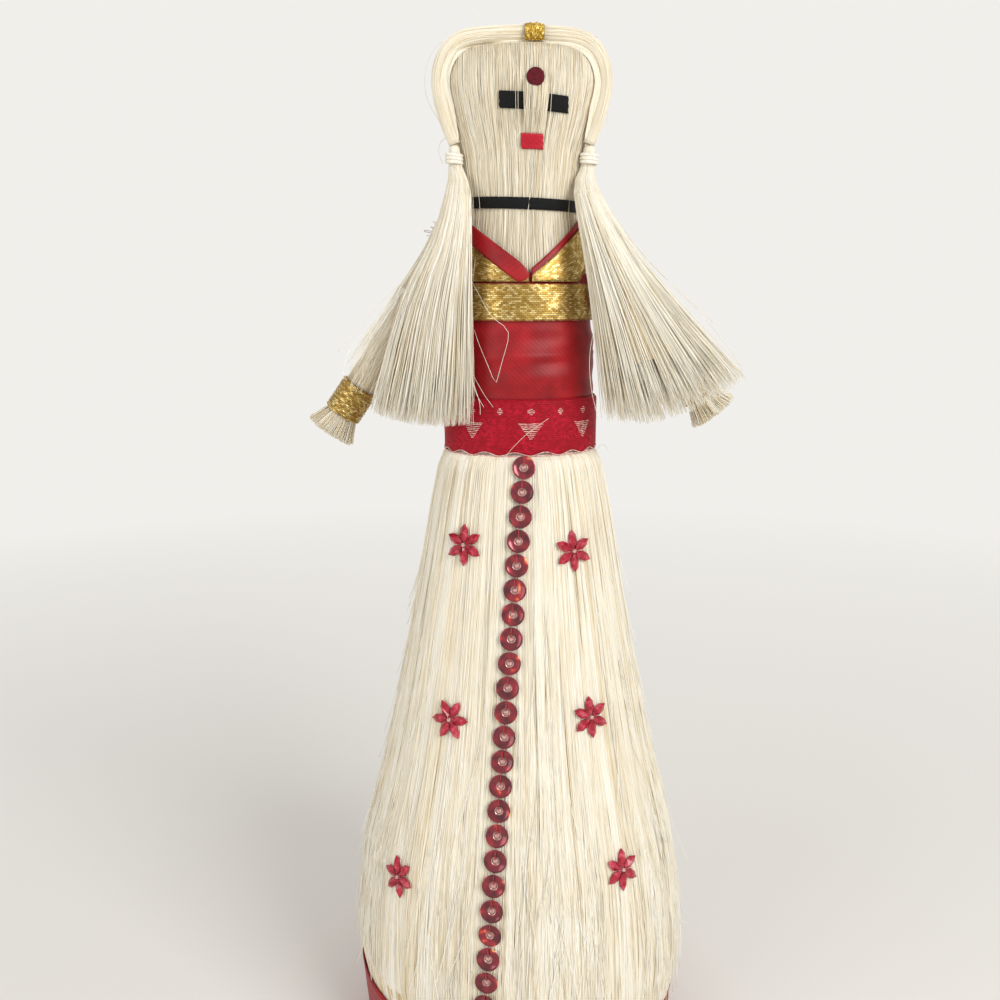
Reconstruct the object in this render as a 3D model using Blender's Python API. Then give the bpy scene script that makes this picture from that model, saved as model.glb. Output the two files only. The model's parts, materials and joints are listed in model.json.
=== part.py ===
"""A folk doll of combed plant fibre in a long skirt, in metres.

The origin is on the floor under the doll's middle, with +Z up. The doll faces -Y,
and left and right are as seen from in front of it.
"""

import math

import bmesh
import bpy
import numpy as np
from mathutils import Matrix, Vector

# Clearance between neighbours, and the thin stock
GAP = 0.0003
CLOTH = 0.0005
RIBBON = 0.0004
CARD = 0.001

# Skirt: its outline, the fibre's tied top and the bound hem
WAIST_HEIGHT = 0.174
SKIRT_RADIUS = 0.0467
SKIRT_SHARES = (
    (0.0, 0.945),
    (0.11, 0.985),
    (0.19, 1.0),
    (0.36, 0.938),
    (0.51, 0.80),
    (0.65, 0.694),
    (0.79, 0.595),
    (0.95, 0.493),
    (1.0, 0.448),
)
SKIRT_TOP_DEPTH_SHARE = 0.82
SKIRT_HEM_WALL = 0.003
LOCK_HEIGHT = 0.0004
LOCK_COUNTS = (9, 14)
HEM_WIDTH = 0.022
CONE_TOP_RADIUS = 0.0103
CONE_DROP = 0.003
BASE_THICKNESS = 0.0015
SKIRT_SEGMENTS = 48
ROUND_SEGMENTS = 32
SMALL_SEGMENTS = 16

# Body: one hank of fibre from the waist over the crown of the head
TORSO_LENGTH = 0.049
TORSO_HALF_WIDTH = 0.01875
NECK_HALF_WIDTH = 0.0142
HEAD_HEIGHT = 0.0385
HEAD_HALF_WIDTH = 0.0200
BODY_DEPTH_SHARE = 0.76
TORSO_SHARES = ((0.0, 1.0), (0.3, 0.85), (0.6, 0.6), (0.8, 0.24), (0.92, 0.06))
HEAD_SHARES = (
    (0.18, 0.75),
    (0.34, 0.79),
    (0.49, 0.885),
    (0.61, 0.95),
    (0.753, 1.0),
    (0.87, 0.955),
    (0.95, 0.84),
    (0.985, 0.63),
    (1.0, 0.25),
)
HANK_WALL = 0.0022
CORE_WAIST_RADIUS = 0.0088
CORE_TAIL = 0.02

# Clothes round the torso
WAIST_BAND_WIDTH = 0.015
WAIST_BAND_THICKNESS = 0.0008
BODICE_TUCK = 0.002
BELT_RISE = 0.0198
GOLD_WIDTH = 0.0095
BODICE_ABOVE_BELT = 0.0025
NECKLINE_RISE = 0.0036
STRAP_DROP = 0.0028
RED_STRAP_WIDTH = 0.004
RED_STRAP_SHOWS = 0.0018
NECKLINE_SIDE = 0.002
NECKLACE_WIDTH = 0.003
STRAP_STEPS = 15

# Face, turned a little to the right
FACE_SHIFT = 0.003
EYE_HEIGHT_SHARE = 0.612
EYE_RIBBON_LENGTH = 0.0166
EYE_RIBBON_WIDTH = 0.0042
MOUTH_HEIGHT_SHARE = 0.378
MOUTH_LENGTH = 0.0052
MOUTH_WIDTH = 0.0037
NOSE_WIDTH = 0.0054
NOSE_OVERLAP = 0.0014
NOSE_THICKNESS = 0.0007
SPOT_HEIGHT_SHARE = 0.753
SPOT_RADIUS = 0.0023
SPOT_THICKNESS = 0.0008

# Hair: the roll over the head, the two ties and the two hanging tails
HAIR_FORWARD = 0.005
HAIR_ROLL_RADIUS = 0.0016
EAR_HEIGHT_SHARE = 0.353
TAIL_ROOT_RADIUS = 0.0013
TAIL_ROOT_LENGTH = 0.0052
TAIL_LENGTH = {"left": 0.066, "right": 0.0635}
TAIL_FORWARD = 0.011
TAIL_HALF_DEPTH = 0.006
TAIL_REACH = {"left": (-0.0046, 0.0209), "right": (0.0039, 0.038)}
TAIL_LIFT = {"left": 0.003, "right": 0.0104}
TAIL_SAG = {"left": 0.002, "right": 0.005}
TAIL_SHARES = {
    "left": (
        (0.16, 0.90, 0.03, 0.50, 0.25),
        (0.36, 1.00, 0.22, 0.90, 0.60),
        (0.60, 1.00, 0.61, 1.00, 0.82),
        (1.00, 1.00, 1.00, 1.00, 1.00),
    ),
    "right": (
        (0.16, -0.20, 0.02, 0.50, 0.25),
        (0.36, 0.00, 0.19, 0.90, 0.60),
        (0.60, 0.32, 0.465, 1.00, 0.82),
        (1.00, 1.00, 1.00, 1.00, 1.00),
    ),
}
TAIL_CELLS = (15, 8)
TIE_CORD_RADIUS = 0.00035
TIE_PITCH = 0.00115
TIE_LOOPS = 2
TIE_DROP = 0.0009
LOOP_POINTS = 24
KNOT_WIDTH = 0.0048
KNOT_HEIGHT = 0.0015
KNOT_FOIL = 0.0004

# Arms: a bound bundle each, with a red sleeve and a gold cuff
SHOULDER_DROP = 0.0175
SHOULDER_BACK = 0.0015
SHOULDER_RADIUS = 0.0048
ARM_RADIUS = 0.0044
ARM_LENGTH = {"left": 0.0511, "right": 0.0475}
ARM_ANGLE = {"left": 55.4, "right": 50.9}
HAND_LENGTH = 0.0058
HAND_HALF_WIDTH = 0.007
HAND_HALF_DEPTH = 0.0052
HAND_SAG = 0.0008
HAND_CELLS = (6, 5)
SLEEVE_START = 0.0028
SLEEVE_LENGTH = 0.0045
SLEEVE_FLARE = 0.0002
CUFF_LENGTH = 0.009

# Trim on the skirt
SEQUIN_RADIUS = 0.003
SEQUIN_HOLE_RADIUS = 0.0009
SEQUIN_THICKNESS = 0.00025
SEQUIN_CUP = 0.0003
SEQUIN_SEGMENTS = 10
SEQUIN_TOP_SIDE = 0.0006
SEQUIN_TOP_DROP = 0.0023
SEQUIN_SLANT_SHARE = 0.073
FLOWER_RADIUS = 0.005
FLOWER_HEIGHT = 0.0012
FLOWER_EDGE = 0.0005
FLOWER_PETALS = 6
PETAL_SHARES = ((0.16, 0.0), (0.6, 0.08), (1.0, 0.5), (0.6, 0.92))
PETAL_RIDGE_SHARE = 0.6
FLOWER_SHARES = (
    (0.870, -0.57),
    (0.862, 0.515),
    (0.612, -0.54),
    (0.616, 0.53),
    (0.361, -0.733),
    (0.386, 0.612),
)

# Strands, and the shares and counts that the forms use
STRAND_DOME = 0.0008
STRAND_SHARE = 0.56
STRAND_UNEVEN_SHARE = 0.12
SMOOTH_STEPS = 2
ROLL_POINTS = 32
SHARP_ANGLE = 40
BALL_DEGREES = (62, 25)
SEED = 7
KNOT_DEGREES = (-30, 210)
KNOT_CREST_DEGREES = 30
KNOT_STEPS = 12
LINE_STEPS = 400

WAIST_TOP = WAIST_HEIGHT + WAIST_BAND_WIDTH
NECK_Z = WAIST_TOP + TORSO_LENGTH
CROWN_Z = NECK_Z + HEAD_HEIGHT
EAR_Z = NECK_Z + EAR_HEIGHT_SHARE * HEAD_HEIGHT
BELT_Z = WAIST_TOP + BELT_RISE
BELT_TOP = BELT_Z + GOLD_WIDTH
BODICE_TOP = BELT_TOP + BODICE_ABOVE_BELT
SHOULDER_Z = NECK_Z - SHOULDER_DROP
BODICE_OUT = GAP + CLOTH
STRAP_OUT = BODICE_OUT + GAP
OVER_STRAP_OUT = STRAP_OUT + RIBBON + GAP
SIDES = {"left": -1, "right": 1}
FRONT = -math.pi / 2


def clear_scene():
    for obj in list(bpy.data.objects):
        bpy.data.objects.remove(obj)


def linear(channel):
    """One sRGB channel, 0 to 255, as linear light."""
    value = channel / 255
    return value / 12.92 if value <= 0.04045 else ((value + 0.055) / 1.055) ** 2.4


def finish(name, red, green, blue, roughness, metallic=0.0):
    """A plain material of one sRGB colour."""
    material = bpy.data.materials.new(name)
    material.use_nodes = True
    shader = material.node_tree.nodes["Principled BSDF"]
    shader.inputs["Base Color"].default_value = (linear(red), linear(green), linear(blue), 1)
    shader.inputs["Roughness"].default_value = roughness
    shader.inputs["Metallic"].default_value = metallic
    return material


def smooth(stations, steps):
    """A Catmull-Rom curve through the stations, with this many steps from each to the next."""
    known = np.array(stations, float)
    first = 2 * known[0] - known[1]
    last = 2 * known[-1] - known[-2]
    padded = np.vstack([first, known, last])
    points = []
    for a, b, c, d in zip(padded, padded[1:], padded[2:], padded[3:]):
        for t in np.arange(steps) / steps:
            cubic = 3 * (b - c) + d - a
            square = 2 * a - 5 * b + 4 * c - d
            points.append(b + (c - a + (square + cubic * t) * t) * t / 2)
    return np.vstack([points, known[-1]])


def add_object(name, mesh, material, parent=None):
    mesh.materials.append(material)
    obj = bpy.data.objects.new(name, mesh)
    bpy.context.scene.collection.objects.link(obj)
    obj.parent = parent
    return obj


def mesh_from(bm, name):
    """The mesh of bm with its faces outward, smooth but for its real edges."""
    bmesh.ops.recalc_face_normals(bm, faces=bm.faces)
    mesh = bpy.data.meshes.new(name)
    bm.to_mesh(mesh)
    bm.free()
    mesh.shade_smooth()
    mesh.set_sharp_from_angle(angle=math.radians(SHARP_ANGLE))
    return mesh


def loft(name, rings, material, parent=None, ring_shaped=False):
    """A solid through rings of points: capped at both ends, or joined from last to first."""
    bm = bmesh.new()
    rows = [[bm.verts.new(point) for point in ring] for ring in rings]
    pairs = list(zip(rows, rows[1:]))
    if ring_shaped:
        pairs.append((rows[-1], rows[0]))
    else:
        bm.faces.new(rows[0])
        bm.faces.new(rows[-1])
    for lower, upper in pairs:
        for i in range(len(lower)):
            j = (i + 1) % len(lower)
            bm.faces.new((lower[i], lower[j], upper[j], upper[i]))
    return add_object(name, mesh_from(bm, name), material, parent)


def oval(half_width, half_depth, z, segments):
    angles = [2 * math.pi * i / segments for i in range(segments)]
    return [Vector((half_width * math.cos(a), half_depth * math.sin(a), z)) for a in angles]


def circle(radius, z, segments=ROUND_SEGMENTS):
    return oval(radius, radius, z, segments)


def make_skirt_outline():
    """Heights and half-widths of the skirt below the waist band."""
    top = WAIST_HEIGHT - GAP
    stations = [(top * height, SKIRT_RADIUS * width) for height, width in SKIRT_SHARES]
    return smooth(stations, SMOOTH_STEPS)


def make_body_outline():
    """Heights and half-widths of the fibre hank, from the waist to the crown."""
    foot = WAIST_TOP + GAP
    swell = TORSO_HALF_WIDTH - NECK_HALF_WIDTH
    stations = [
        (foot + (NECK_Z - foot) * height, NECK_HALF_WIDTH + swell * width)
        for height, width in TORSO_SHARES
    ]
    stations.append((NECK_Z, NECK_HALF_WIDTH))
    for height, width in HEAD_SHARES:
        stations.append((NECK_Z + HEAD_HEIGHT * height, HEAD_HALF_WIDTH * width))
    return smooth(stations, SMOOTH_STEPS)


SKIRT_OUTLINE = make_skirt_outline()
BODY_OUTLINE = make_body_outline()


def body_half_width(z):
    return float(np.interp(z, BODY_OUTLINE[:, 0], BODY_OUTLINE[:, 1]))


def skirt_half_width(z):
    return float(np.interp(z, SKIRT_OUTLINE[:, 0], SKIRT_OUTLINE[:, 1]))


def skirt_half_depth(z):
    """The skirt is round at the hem and flatter towards the waist."""
    share = min(max(z / WAIST_HEIGHT, 0), 1)
    flattening = (1 - SKIRT_TOP_DEPTH_SHARE) * share**2
    return skirt_half_width(z) * (1 - flattening)


def body_ring(z, out=0.0, segments=ROUND_SEGMENTS):
    half_width = body_half_width(z)
    return oval(half_width + out, half_width * BODY_DEPTH_SHARE + out, z, segments)


def body_point(angle, z, out):
    """A point this far outside the body, at an angle round it from +X."""
    half_width = body_half_width(z)
    x = (half_width + out) * math.cos(angle)
    y = (half_width * BODY_DEPTH_SHARE + out) * math.sin(angle)
    return Vector((x, y, z))


def front_angle(x, z):
    return FRONT + math.asin(x / body_half_width(z))


def body_front(x, z):
    return body_point(front_angle(x, z), z, 0)


def skirt_front(x, z):
    half_width = skirt_half_width(z)
    return Vector((x, -skirt_half_depth(z) * math.sqrt(1 - (x / half_width) ** 2), z))


def trim_seat(front, x, z, reach, stand):
    """The place and turn of trim of this reach that lies on the body's or skirt's front."""
    across = front(x + reach, z) - front(x - reach, z)
    up = front(x, z + reach) - front(x, z - reach)
    out = across.cross(up).normalized()
    side = up.cross(out).normalized()
    turn = Matrix((side, out.cross(side), out)).transposed().to_4x4()
    return Matrix.Translation(front(x, z) + out * stand) @ turn


def make_base_disc(card):
    top_radius = cone_radius(BASE_THICKNESS) - CARD - GAP
    loft("base_disc", [circle(top_radius, 0), circle(top_radius, BASE_THICKNESS)], card)


def cone_radius(z):
    """Outer radius of the card cone, which runs straight from the hem to the waist."""
    foot = SKIRT_OUTLINE[0, 1] - RIBBON - GAP - SKIRT_HEM_WALL - GAP
    return foot + (CONE_TOP_RADIUS - foot) * z / WAIST_TOP


def make_skirt_cone(card):
    top = WAIST_TOP - CONE_DROP
    rings = [
        circle(cone_radius(0) - CARD, 0),
        circle(cone_radius(0), 0),
        circle(cone_radius(top), top),
        circle(cone_radius(top) - CARD, top),
    ]
    loft("skirt_cone", rings, card, ring_shaped=True)


def lock_swell(angle, z):
    """How far the skirt's locks stand out: not at all under the hem ribbon and the band."""
    below = (z - HEM_WIDTH - LOCK_HEIGHT) / HEM_WIDTH
    above = (WAIST_HEIGHT - z) / WAIST_BAND_WIDTH
    window = min(max(min(below, above), 0), 1)
    waves = sum(math.sin(count * angle + count) for count in LOCK_COUNTS)
    return LOCK_HEIGHT * window * waves / len(LOCK_COUNTS)


def skirt_ring(z, inward=0.0):
    half_width = skirt_half_width(z) - inward
    half_depth = skirt_half_depth(z) - inward
    ring = []
    for i in range(SKIRT_SEGMENTS):
        angle = 2 * math.pi * i / SKIRT_SEGMENTS
        swell = lock_swell(angle, z)
        x = (half_width + swell) * math.cos(angle)
        y = (half_depth + swell) * math.sin(angle)
        ring.append(Vector((x, y, z)))
    return ring


def make_skirt_fibre(fibre):
    """The skirt's hank: recessed under the hem ribbon, and drawn in where it is tied."""
    recess = RIBBON + GAP
    hem_top = HEM_WIDTH + GAP
    top = WAIST_TOP - GAP
    shoulder = SKIRT_OUTLINE[-1, 0]
    tied = TORSO_HALF_WIDTH
    rings = [skirt_ring(0, recess), skirt_ring(hem_top, recess), skirt_ring(hem_top)]
    rings += [skirt_ring(z) for z in SKIRT_OUTLINE[:, 0] if z > hem_top]
    for z in (shoulder, top):
        rings.append(oval(tied, tied * BODY_DEPTH_SHARE, z, SKIRT_SEGMENTS))
    for z in (top, 0):
        rings.append(circle(cone_radius(z) + GAP, z, SKIRT_SEGMENTS))
    loft("skirt_fibre", rings, fibre, ring_shaped=True)


def make_hem_ribbon(satin):
    inner = [skirt_ring(z, RIBBON) for z in (0, HEM_WIDTH)]
    outer = [skirt_ring(z) for z in (HEM_WIDTH, 0)]
    loft("hem_ribbon", inner + outer, satin, ring_shaped=True)


def make_body_hank(fibre):
    """Head, neck and torso in one hank that hangs over the core, open below."""
    ceiling = CROWN_Z - HANK_WALL
    outer = [body_ring(z) for z in BODY_OUTLINE[::-1, 0]]
    inner_heights = [z for z in BODY_OUTLINE[::SMOOTH_STEPS, 0] if z < ceiling] + [ceiling]
    inner = [body_ring(z, -HANK_WALL) for z in inner_heights]
    hank = loft("face_hank", outer + inner, fibre)
    nose = make_nose_lock(fibre)
    join = hank.modifiers.new("nose lock", "BOOLEAN")
    join.operation = "UNION"
    join.object = nose


def make_nose_lock(fibre):
    """The lock of face fibre that holds the eye ribbon. It is joined to the hank."""
    middle = NECK_Z + EYE_HEIGHT_SHARE * HEAD_HEIGHT
    lift = RIBBON + 2 * GAP
    reach = EYE_RIBBON_WIDTH / 2 + NOSE_OVERLAP
    crest = EYE_RIBBON_WIDTH / 2 + GAP
    levels = ((-reach, -NOSE_THICKNESS), (-crest, lift), (crest, lift), (reach, -NOSE_THICKNESS))
    rings = []
    for rise, inner in levels:
        z = middle + rise
        corners = ((-1, inner), (1, inner), (1, inner + NOSE_THICKNESS), (-1, inner + NOSE_THICKNESS))
        ring = []
        for side, out in corners:
            angle = front_angle(FACE_SHIFT + side * NOSE_WIDTH / 2, z)
            ring.append(body_point(angle, z, out))
        rings.append(ring)
    nose = loft("nose_lock", rings, fibre)
    nose.hide_render = True
    nose.display_type = "WIRE"
    return nose


def make_core_wad(wad):
    """The wad that the hank is drawn over, with a tail down into the cone."""
    ceiling = CROWN_Z - HANK_WALL - GAP
    foot = WAIST_TOP + GAP
    inside = -HANK_WALL - GAP
    heights = [z for z in BODY_OUTLINE[::SMOOTH_STEPS, 0] if z < ceiling] + [ceiling]
    tail = [circle(CORE_WAIST_RADIUS, z, SMALL_SEGMENTS) for z in (foot - CORE_TAIL, foot)]
    rings = tail + [body_ring(z, inside, SMALL_SEGMENTS) for z in heights]
    loft("core_wad", rings, wad)


def make_wrap(name, low, high, out, thickness, material):
    """A band round the body from one height to another."""
    between = [z for z in BODY_OUTLINE[::SMOOTH_STEPS, 0] if low < z < high]
    heights = [low] + between + [high]
    inner = [body_ring(z, out) for z in heights]
    outer = [body_ring(z, out + thickness) for z in heights[::-1]]
    loft(name, inner + outer, material, ring_shaped=True)


def make_strap(name, side, upper_drop, width, out, material):
    """A ribbon from the point of the neckline, over one shoulder, to the middle of the back."""
    chest = body_half_width(BELT_TOP)
    front = math.asin((NECKLINE_SIDE + side * GAP) / chest)
    start = FRONT + front
    end = FRONT + side * math.pi - side * GAP / chest
    point_z = BELT_TOP + NECKLINE_RISE
    rise = NECK_Z - STRAP_DROP - point_z
    rings = []
    for t in np.linspace(0, 1, STRAP_STEPS):
        slope = 2 * rise * math.cos(math.pi * t) / (chest * (1 + BODY_DEPTH_SHARE))
        stretch = math.hypot(1, slope)
        upper = point_z + rise * math.sin(math.pi * t) - upper_drop * stretch
        lower = max(upper - width * stretch, BELT_TOP + GAP)
        angle = start + (end - start) * t
        corners = ((lower, out), (upper, out), (upper, out + RIBBON), (lower, out + RIBBON))
        rings.append([body_point(angle, z, away) for z, away in corners])
    loft(name, rings, material)


def make_patch(name, middle, length, width, material):
    """A short ribbon that lies on the front of the face."""
    rings = []
    for x in np.linspace(-length / 2, length / 2, STRAP_STEPS // 2):
        low, high = middle - width / 2, middle + width / 2
        corners = ((low, GAP), (high, GAP), (high, GAP + RIBBON), (low, GAP + RIBBON))
        angles = {z: front_angle(FACE_SHIFT + x, z) for z in (low, high)}
        rings.append([body_point(angles[z], z, out) for z, out in corners])
    loft(name, rings, material)


def make_clothes(satin, woven, gold, black):
    make_wrap("bodice", WAIST_HEIGHT + BODICE_TUCK, BODICE_TOP, GAP, CLOTH, satin)
    band_out = BODICE_OUT + GAP
    make_wrap("waist_band", WAIST_HEIGHT, WAIST_TOP, band_out, WAIST_BAND_THICKNESS, woven)
    make_wrap("gold_belt", BELT_Z, BELT_TOP, STRAP_OUT, RIBBON, gold)
    make_strap("gold_strap_left", -1, RED_STRAP_SHOWS, GOLD_WIDTH, STRAP_OUT, gold)
    make_strap("red_strap_left", -1, 0, RED_STRAP_WIDTH, OVER_STRAP_OUT, satin)
    make_strap("red_strap_right", 1, 0, RED_STRAP_WIDTH, STRAP_OUT, satin)
    make_strap("gold_strap_right", 1, RED_STRAP_SHOWS, GOLD_WIDTH, OVER_STRAP_OUT, gold)
    low = NECK_Z - NECKLACE_WIDTH / 2
    make_wrap("necklace_ribbon", low, low + NECKLACE_WIDTH, GAP, RIBBON, black)


def make_face(black, satin, felt):
    eyes = NECK_Z + EYE_HEIGHT_SHARE * HEAD_HEIGHT
    mouth = NECK_Z + MOUTH_HEIGHT_SHARE * HEAD_HEIGHT
    make_patch("eye_ribbon", eyes, EYE_RIBBON_LENGTH, EYE_RIBBON_WIDTH, black)
    make_patch("mouth_ribbon", mouth, MOUTH_LENGTH, MOUTH_WIDTH, satin)
    rings = [circle(SPOT_RADIUS, z, SMALL_SEGMENTS) for z in (0, SPOT_THICKNESS)]
    spot = loft("forehead_spot", rings, felt)
    z = NECK_Z + SPOT_HEIGHT_SHARE * HEAD_HEIGHT
    spot.matrix_world = trim_seat(body_front, FACE_SHIFT, z, SPOT_RADIUS, GAP)


def head_side(z):
    """Half-width of the head in the upright plane that the hair roll lies in."""
    half_width = body_half_width(z)
    depth = half_width * BODY_DEPTH_SHARE
    return half_width * math.sqrt(1 - min(HAIR_FORWARD / depth, 1) ** 2)


def hair_path():
    """Middle of the hair roll's right half, from the ear up to the top of the head."""
    stand = GAP + HAIR_ROLL_RADIUS
    foot = EAR_Z + TAIL_ROOT_RADIUS + GAP
    heights = [z for z in BODY_OUTLINE[:, 0] if z > EAR_Z and head_side(z) > 0]
    line = np.array([(head_side(z), z) for z in heights] + [(0, CROWN_Z)])
    run = np.gradient(line, axis=0)
    run[-1] = (-1, 0)
    run /= np.linalg.norm(run, axis=1)[:, None]
    line += stand * np.column_stack([run[:, 1], -run[:, 0]])
    start = (np.interp(foot, line[:, 1], line[:, 0]), foot)
    above = line[line[:, 1] > foot + HAIR_ROLL_RADIUS]
    return smooth(np.vstack([start, above]), SMOOTH_STEPS)


HAIR_PATH = hair_path()
EAR_X = float(HAIR_PATH[0, 0])


def poly_tube(name, points, radius, resolution, material, parent=None):
    """A round tube through the points, with closed ends."""
    curve = bpy.data.curves.new(name, "CURVE")
    curve.dimensions = "3D"
    curve.bevel_depth = radius
    curve.bevel_resolution = resolution
    curve.use_fill_caps = True
    spline = curve.splines.new("POLY")
    spline.points.add(len(points) - 1)
    for spot, point in zip(spline.points, points):
        spot.co = (*point, 1)
    spline.use_smooth = True
    return add_object(name, curve, material, parent)


def make_hair_roll(fibre):
    right = [(x, -HAIR_FORWARD, z) for x, z in HAIR_PATH]
    left = [(-x, y, z) for x, y, z in right[:-1]]
    whole = np.array(left + right[::-1])
    lengths = np.linalg.norm(np.diff(whole, axis=0), axis=1)
    along = np.concatenate([[0], np.cumsum(lengths)])
    places = np.linspace(0, along[-1], ROLL_POINTS)
    points = np.column_stack([np.interp(places, along, whole[:, k]) for k in range(3)])
    poly_tube("hair_band", points, HAIR_ROLL_RADIUS, 2, fibre)


def make_knot(gold):
    """A gold ribbon knot that sits astride the hair roll."""
    inner = HAIR_ROLL_RADIUS + GAP
    middle = CROWN_Z + inner
    rings = []
    for angle in np.radians(np.linspace(*KNOT_DEGREES, KNOT_STEPS)):
        crest = max(math.cos(angle - math.radians(KNOT_CREST_DEGREES)), 0) ** 2
        outer = inner + KNOT_FOIL + KNOT_HEIGHT * crest
        half = KNOT_WIDTH / 2
        ring = []
        for side, radius in ((-1, inner), (1, inner), (1, outer), (-1, outer)):
            y = -HAIR_FORWARD - radius * math.cos(angle)
            z = middle + radius * math.sin(angle)
            ring.append((FACE_SHIFT + side * half, y, z))
        rings.append(ring)
    loft("hair_ornament", rings, gold)


def joint_at(name, location, turn=0.0):
    """An empty on a joint's axis, which carries the pieces that move with it."""
    empty = bpy.data.objects.new(name, None)
    bpy.context.scene.collection.objects.link(empty)
    empty.location = location
    empty.rotation_euler = (0, turn, 0)
    bpy.context.view_layer.update()
    return empty


def disc(u, v):
    """A point of the square from -1 to 1, moved to the round disc inside it."""
    return u * math.sqrt(1 - v * v / 2), v * math.sqrt(1 - u * u / 2)


def bundle(name, root_radius, stations, cells, sag, material, parent):
    """A bundle of fibre: a round root, a body through the stations, and single strands.

    A station is a middle, a half-width vector and a half-depth vector. The strands leave
    the last but one, where the body is domed, and are cut at the last, which sags in the
    middle. Each strand is one cell of a grid over the dome.
    """
    wide, deep = cells
    rng = np.random.default_rng(SEED)

    def place(station, u, v, dome=0.0):
        middle, across, back = station
        x, y = disc(2 * u / wide - 1, 2 * v / deep - 1)
        down = Vector((0, 0, -dome * (1 - x * x - y * y)))
        return middle + across * x + back * y + down

    border = [(i, 0) for i in range(wide)] + [(wide, j) for j in range(deep)]
    border += [(i, deep) for i in range(wide, 0, -1)] + [(0, j) for j in range(deep, 0, -1)]
    bm = bmesh.new()
    body = ball_stations(root_radius) + stations[:-2]
    rows = [[bm.verts.new(place(station, i, j)) for i, j in border] for station in body]
    leave, cut = stations[-2:]
    grid = {}
    for i in range(wide + 1):
        for j in range(deep + 1):
            grid[i, j] = bm.verts.new(place(leave, i, j, STRAND_DOME))
    rows.append([grid[spot] for spot in border])
    pole = bm.verts.new((0, 0, root_radius))
    for i in range(len(border)):
        j = (i + 1) % len(border)
        bm.faces.new((rows[0][i], rows[0][j], pole))
        for lower, upper in zip(rows, rows[1:]):
            bm.faces.new((lower[i], lower[j], upper[j], upper[i]))
    for i in range(wide):
        for j in range(deep):
            corners = [grid[i, j], grid[i + 1, j], grid[i + 1, j + 1], grid[i, j + 1]]
            root = sum((corner.co for corner in corners), Vector()) / len(corners)
            share = 1 - STRAND_UNEVEN_SHARE * rng.random()
            tip = root.lerp(place(cut, i + 1 / 2, j + 1 / 2, sag), share)
            add_strand(bm, corners, root, tip)
    return add_object(name, mesh_from(bm, name), material, parent)


def add_strand(bm, corners, root, tip):
    """A four-sided strand from the middle of a cell to its tip."""
    edges = [STRAND_SHARE * (corner.co - root) for corner in corners]
    foot = [bm.verts.new(root + edge) for edge in edges]
    head = [bm.verts.new(tip + edge) for edge in edges]
    for lower, upper in ((corners, foot), (foot, head)):
        for i in range(len(lower)):
            j = (i + 1) % len(lower)
            bm.faces.new((lower[i], lower[j], upper[j], upper[i]))
    bm.faces.new(head)


def round_station(z, radius):
    return Vector((0, 0, z)), Vector((radius, 0, 0)), Vector((0, radius, 0))


def ball_stations(radius):
    """Rings of the rounded root of a bundle, about its joint, below the pole."""
    angles = np.radians(BALL_DEGREES)
    return [round_station(radius * math.sin(a), radius * math.cos(a)) for a in angles]


def tail_station(side, drop, inward, outward, forward, thick):
    """The tail's section at shares of its drop, its reach each way and its thickness."""
    sign = SIDES[side]
    reach_in, reach_out = TAIL_REACH[side]
    inner_x = -TAIL_ROOT_RADIUS + (reach_in + TAIL_ROOT_RADIUS) * inward
    outer_x = TAIL_ROOT_RADIUS + (reach_out - TAIL_ROOT_RADIUS) * outward
    y = -TAIL_FORWARD * forward
    z = -TAIL_LENGTH[side] * drop
    inner = Vector((sign * inner_x, y, z))
    outer = Vector((sign * outer_x, y, z + TAIL_LIFT[side] * outward))
    depth = TAIL_ROOT_RADIUS + (TAIL_HALF_DEPTH - TAIL_ROOT_RADIUS) * thick
    return (inner + outer) / 2, (outer - inner) / 2, Vector((0, depth, 0))


def tie_points():
    """Middle of the tie's cord: loops round the tail's root, with a straight end each side."""
    radius = TAIL_ROOT_RADIUS + GAP + TIE_CORD_RADIUS
    count = int(TIE_LOOPS * LOOP_POINTS)
    points = []
    for i in range(count + 1):
        angle = 2 * math.pi * i / LOOP_POINTS
        z = -TIE_DROP - TIE_CORD_RADIUS - TIE_PITCH * i / LOOP_POINTS
        points.append(Vector((radius * math.cos(angle), radius * math.sin(angle), z)))
    for end, near in ((0, 1), (-1, -2)):
        onward = (points[end] - points[near]).normalized() * 2 * TIE_CORD_RADIUS
        points.insert(0 if end == 0 else len(points), points[end] + onward)
    return points


def least_gap(points, radius):
    """The least space between stretches of a wound cord half a loop or more apart."""
    line = np.array(points)
    apart = np.linalg.norm(line[:, None] - line[None], axis=2)
    near = np.abs(np.subtract.outer(np.arange(len(line)), np.arange(len(line))))
    return float(apart[near >= LOOP_POINTS // 2].min()) - 2 * radius


def make_tail(side, fibre, cord):
    ear = joint_at("ear_" + side, (SIDES[side] * EAR_X, -HAIR_FORWARD, EAR_Z))
    stations = [round_station(z, TAIL_ROOT_RADIUS) for z in (0, -TAIL_ROOT_LENGTH)]
    stations += [tail_station(side, *shares) for shares in TAIL_SHARES[side]]
    bundle("pigtail_" + side, TAIL_ROOT_RADIUS, stations, TAIL_CELLS, TAIL_SAG[side], fibre, ear)
    points = tie_points()
    poly_tube("ear_tie_" + side, points, TIE_CORD_RADIUS, 1, cord, ear)
    gap = least_gap(points, TIE_CORD_RADIUS)
    print("least gap between the loops of", "ear_tie_" + side, round(gap * 1000, 3), "mm")


def shoulder_x():
    """The shoulder's distance from the middle: its round end is flush with the belt's outside."""
    return body_half_width(SHOULDER_Z) + STRAP_OUT + RIBBON + SHOULDER_RADIUS


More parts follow.
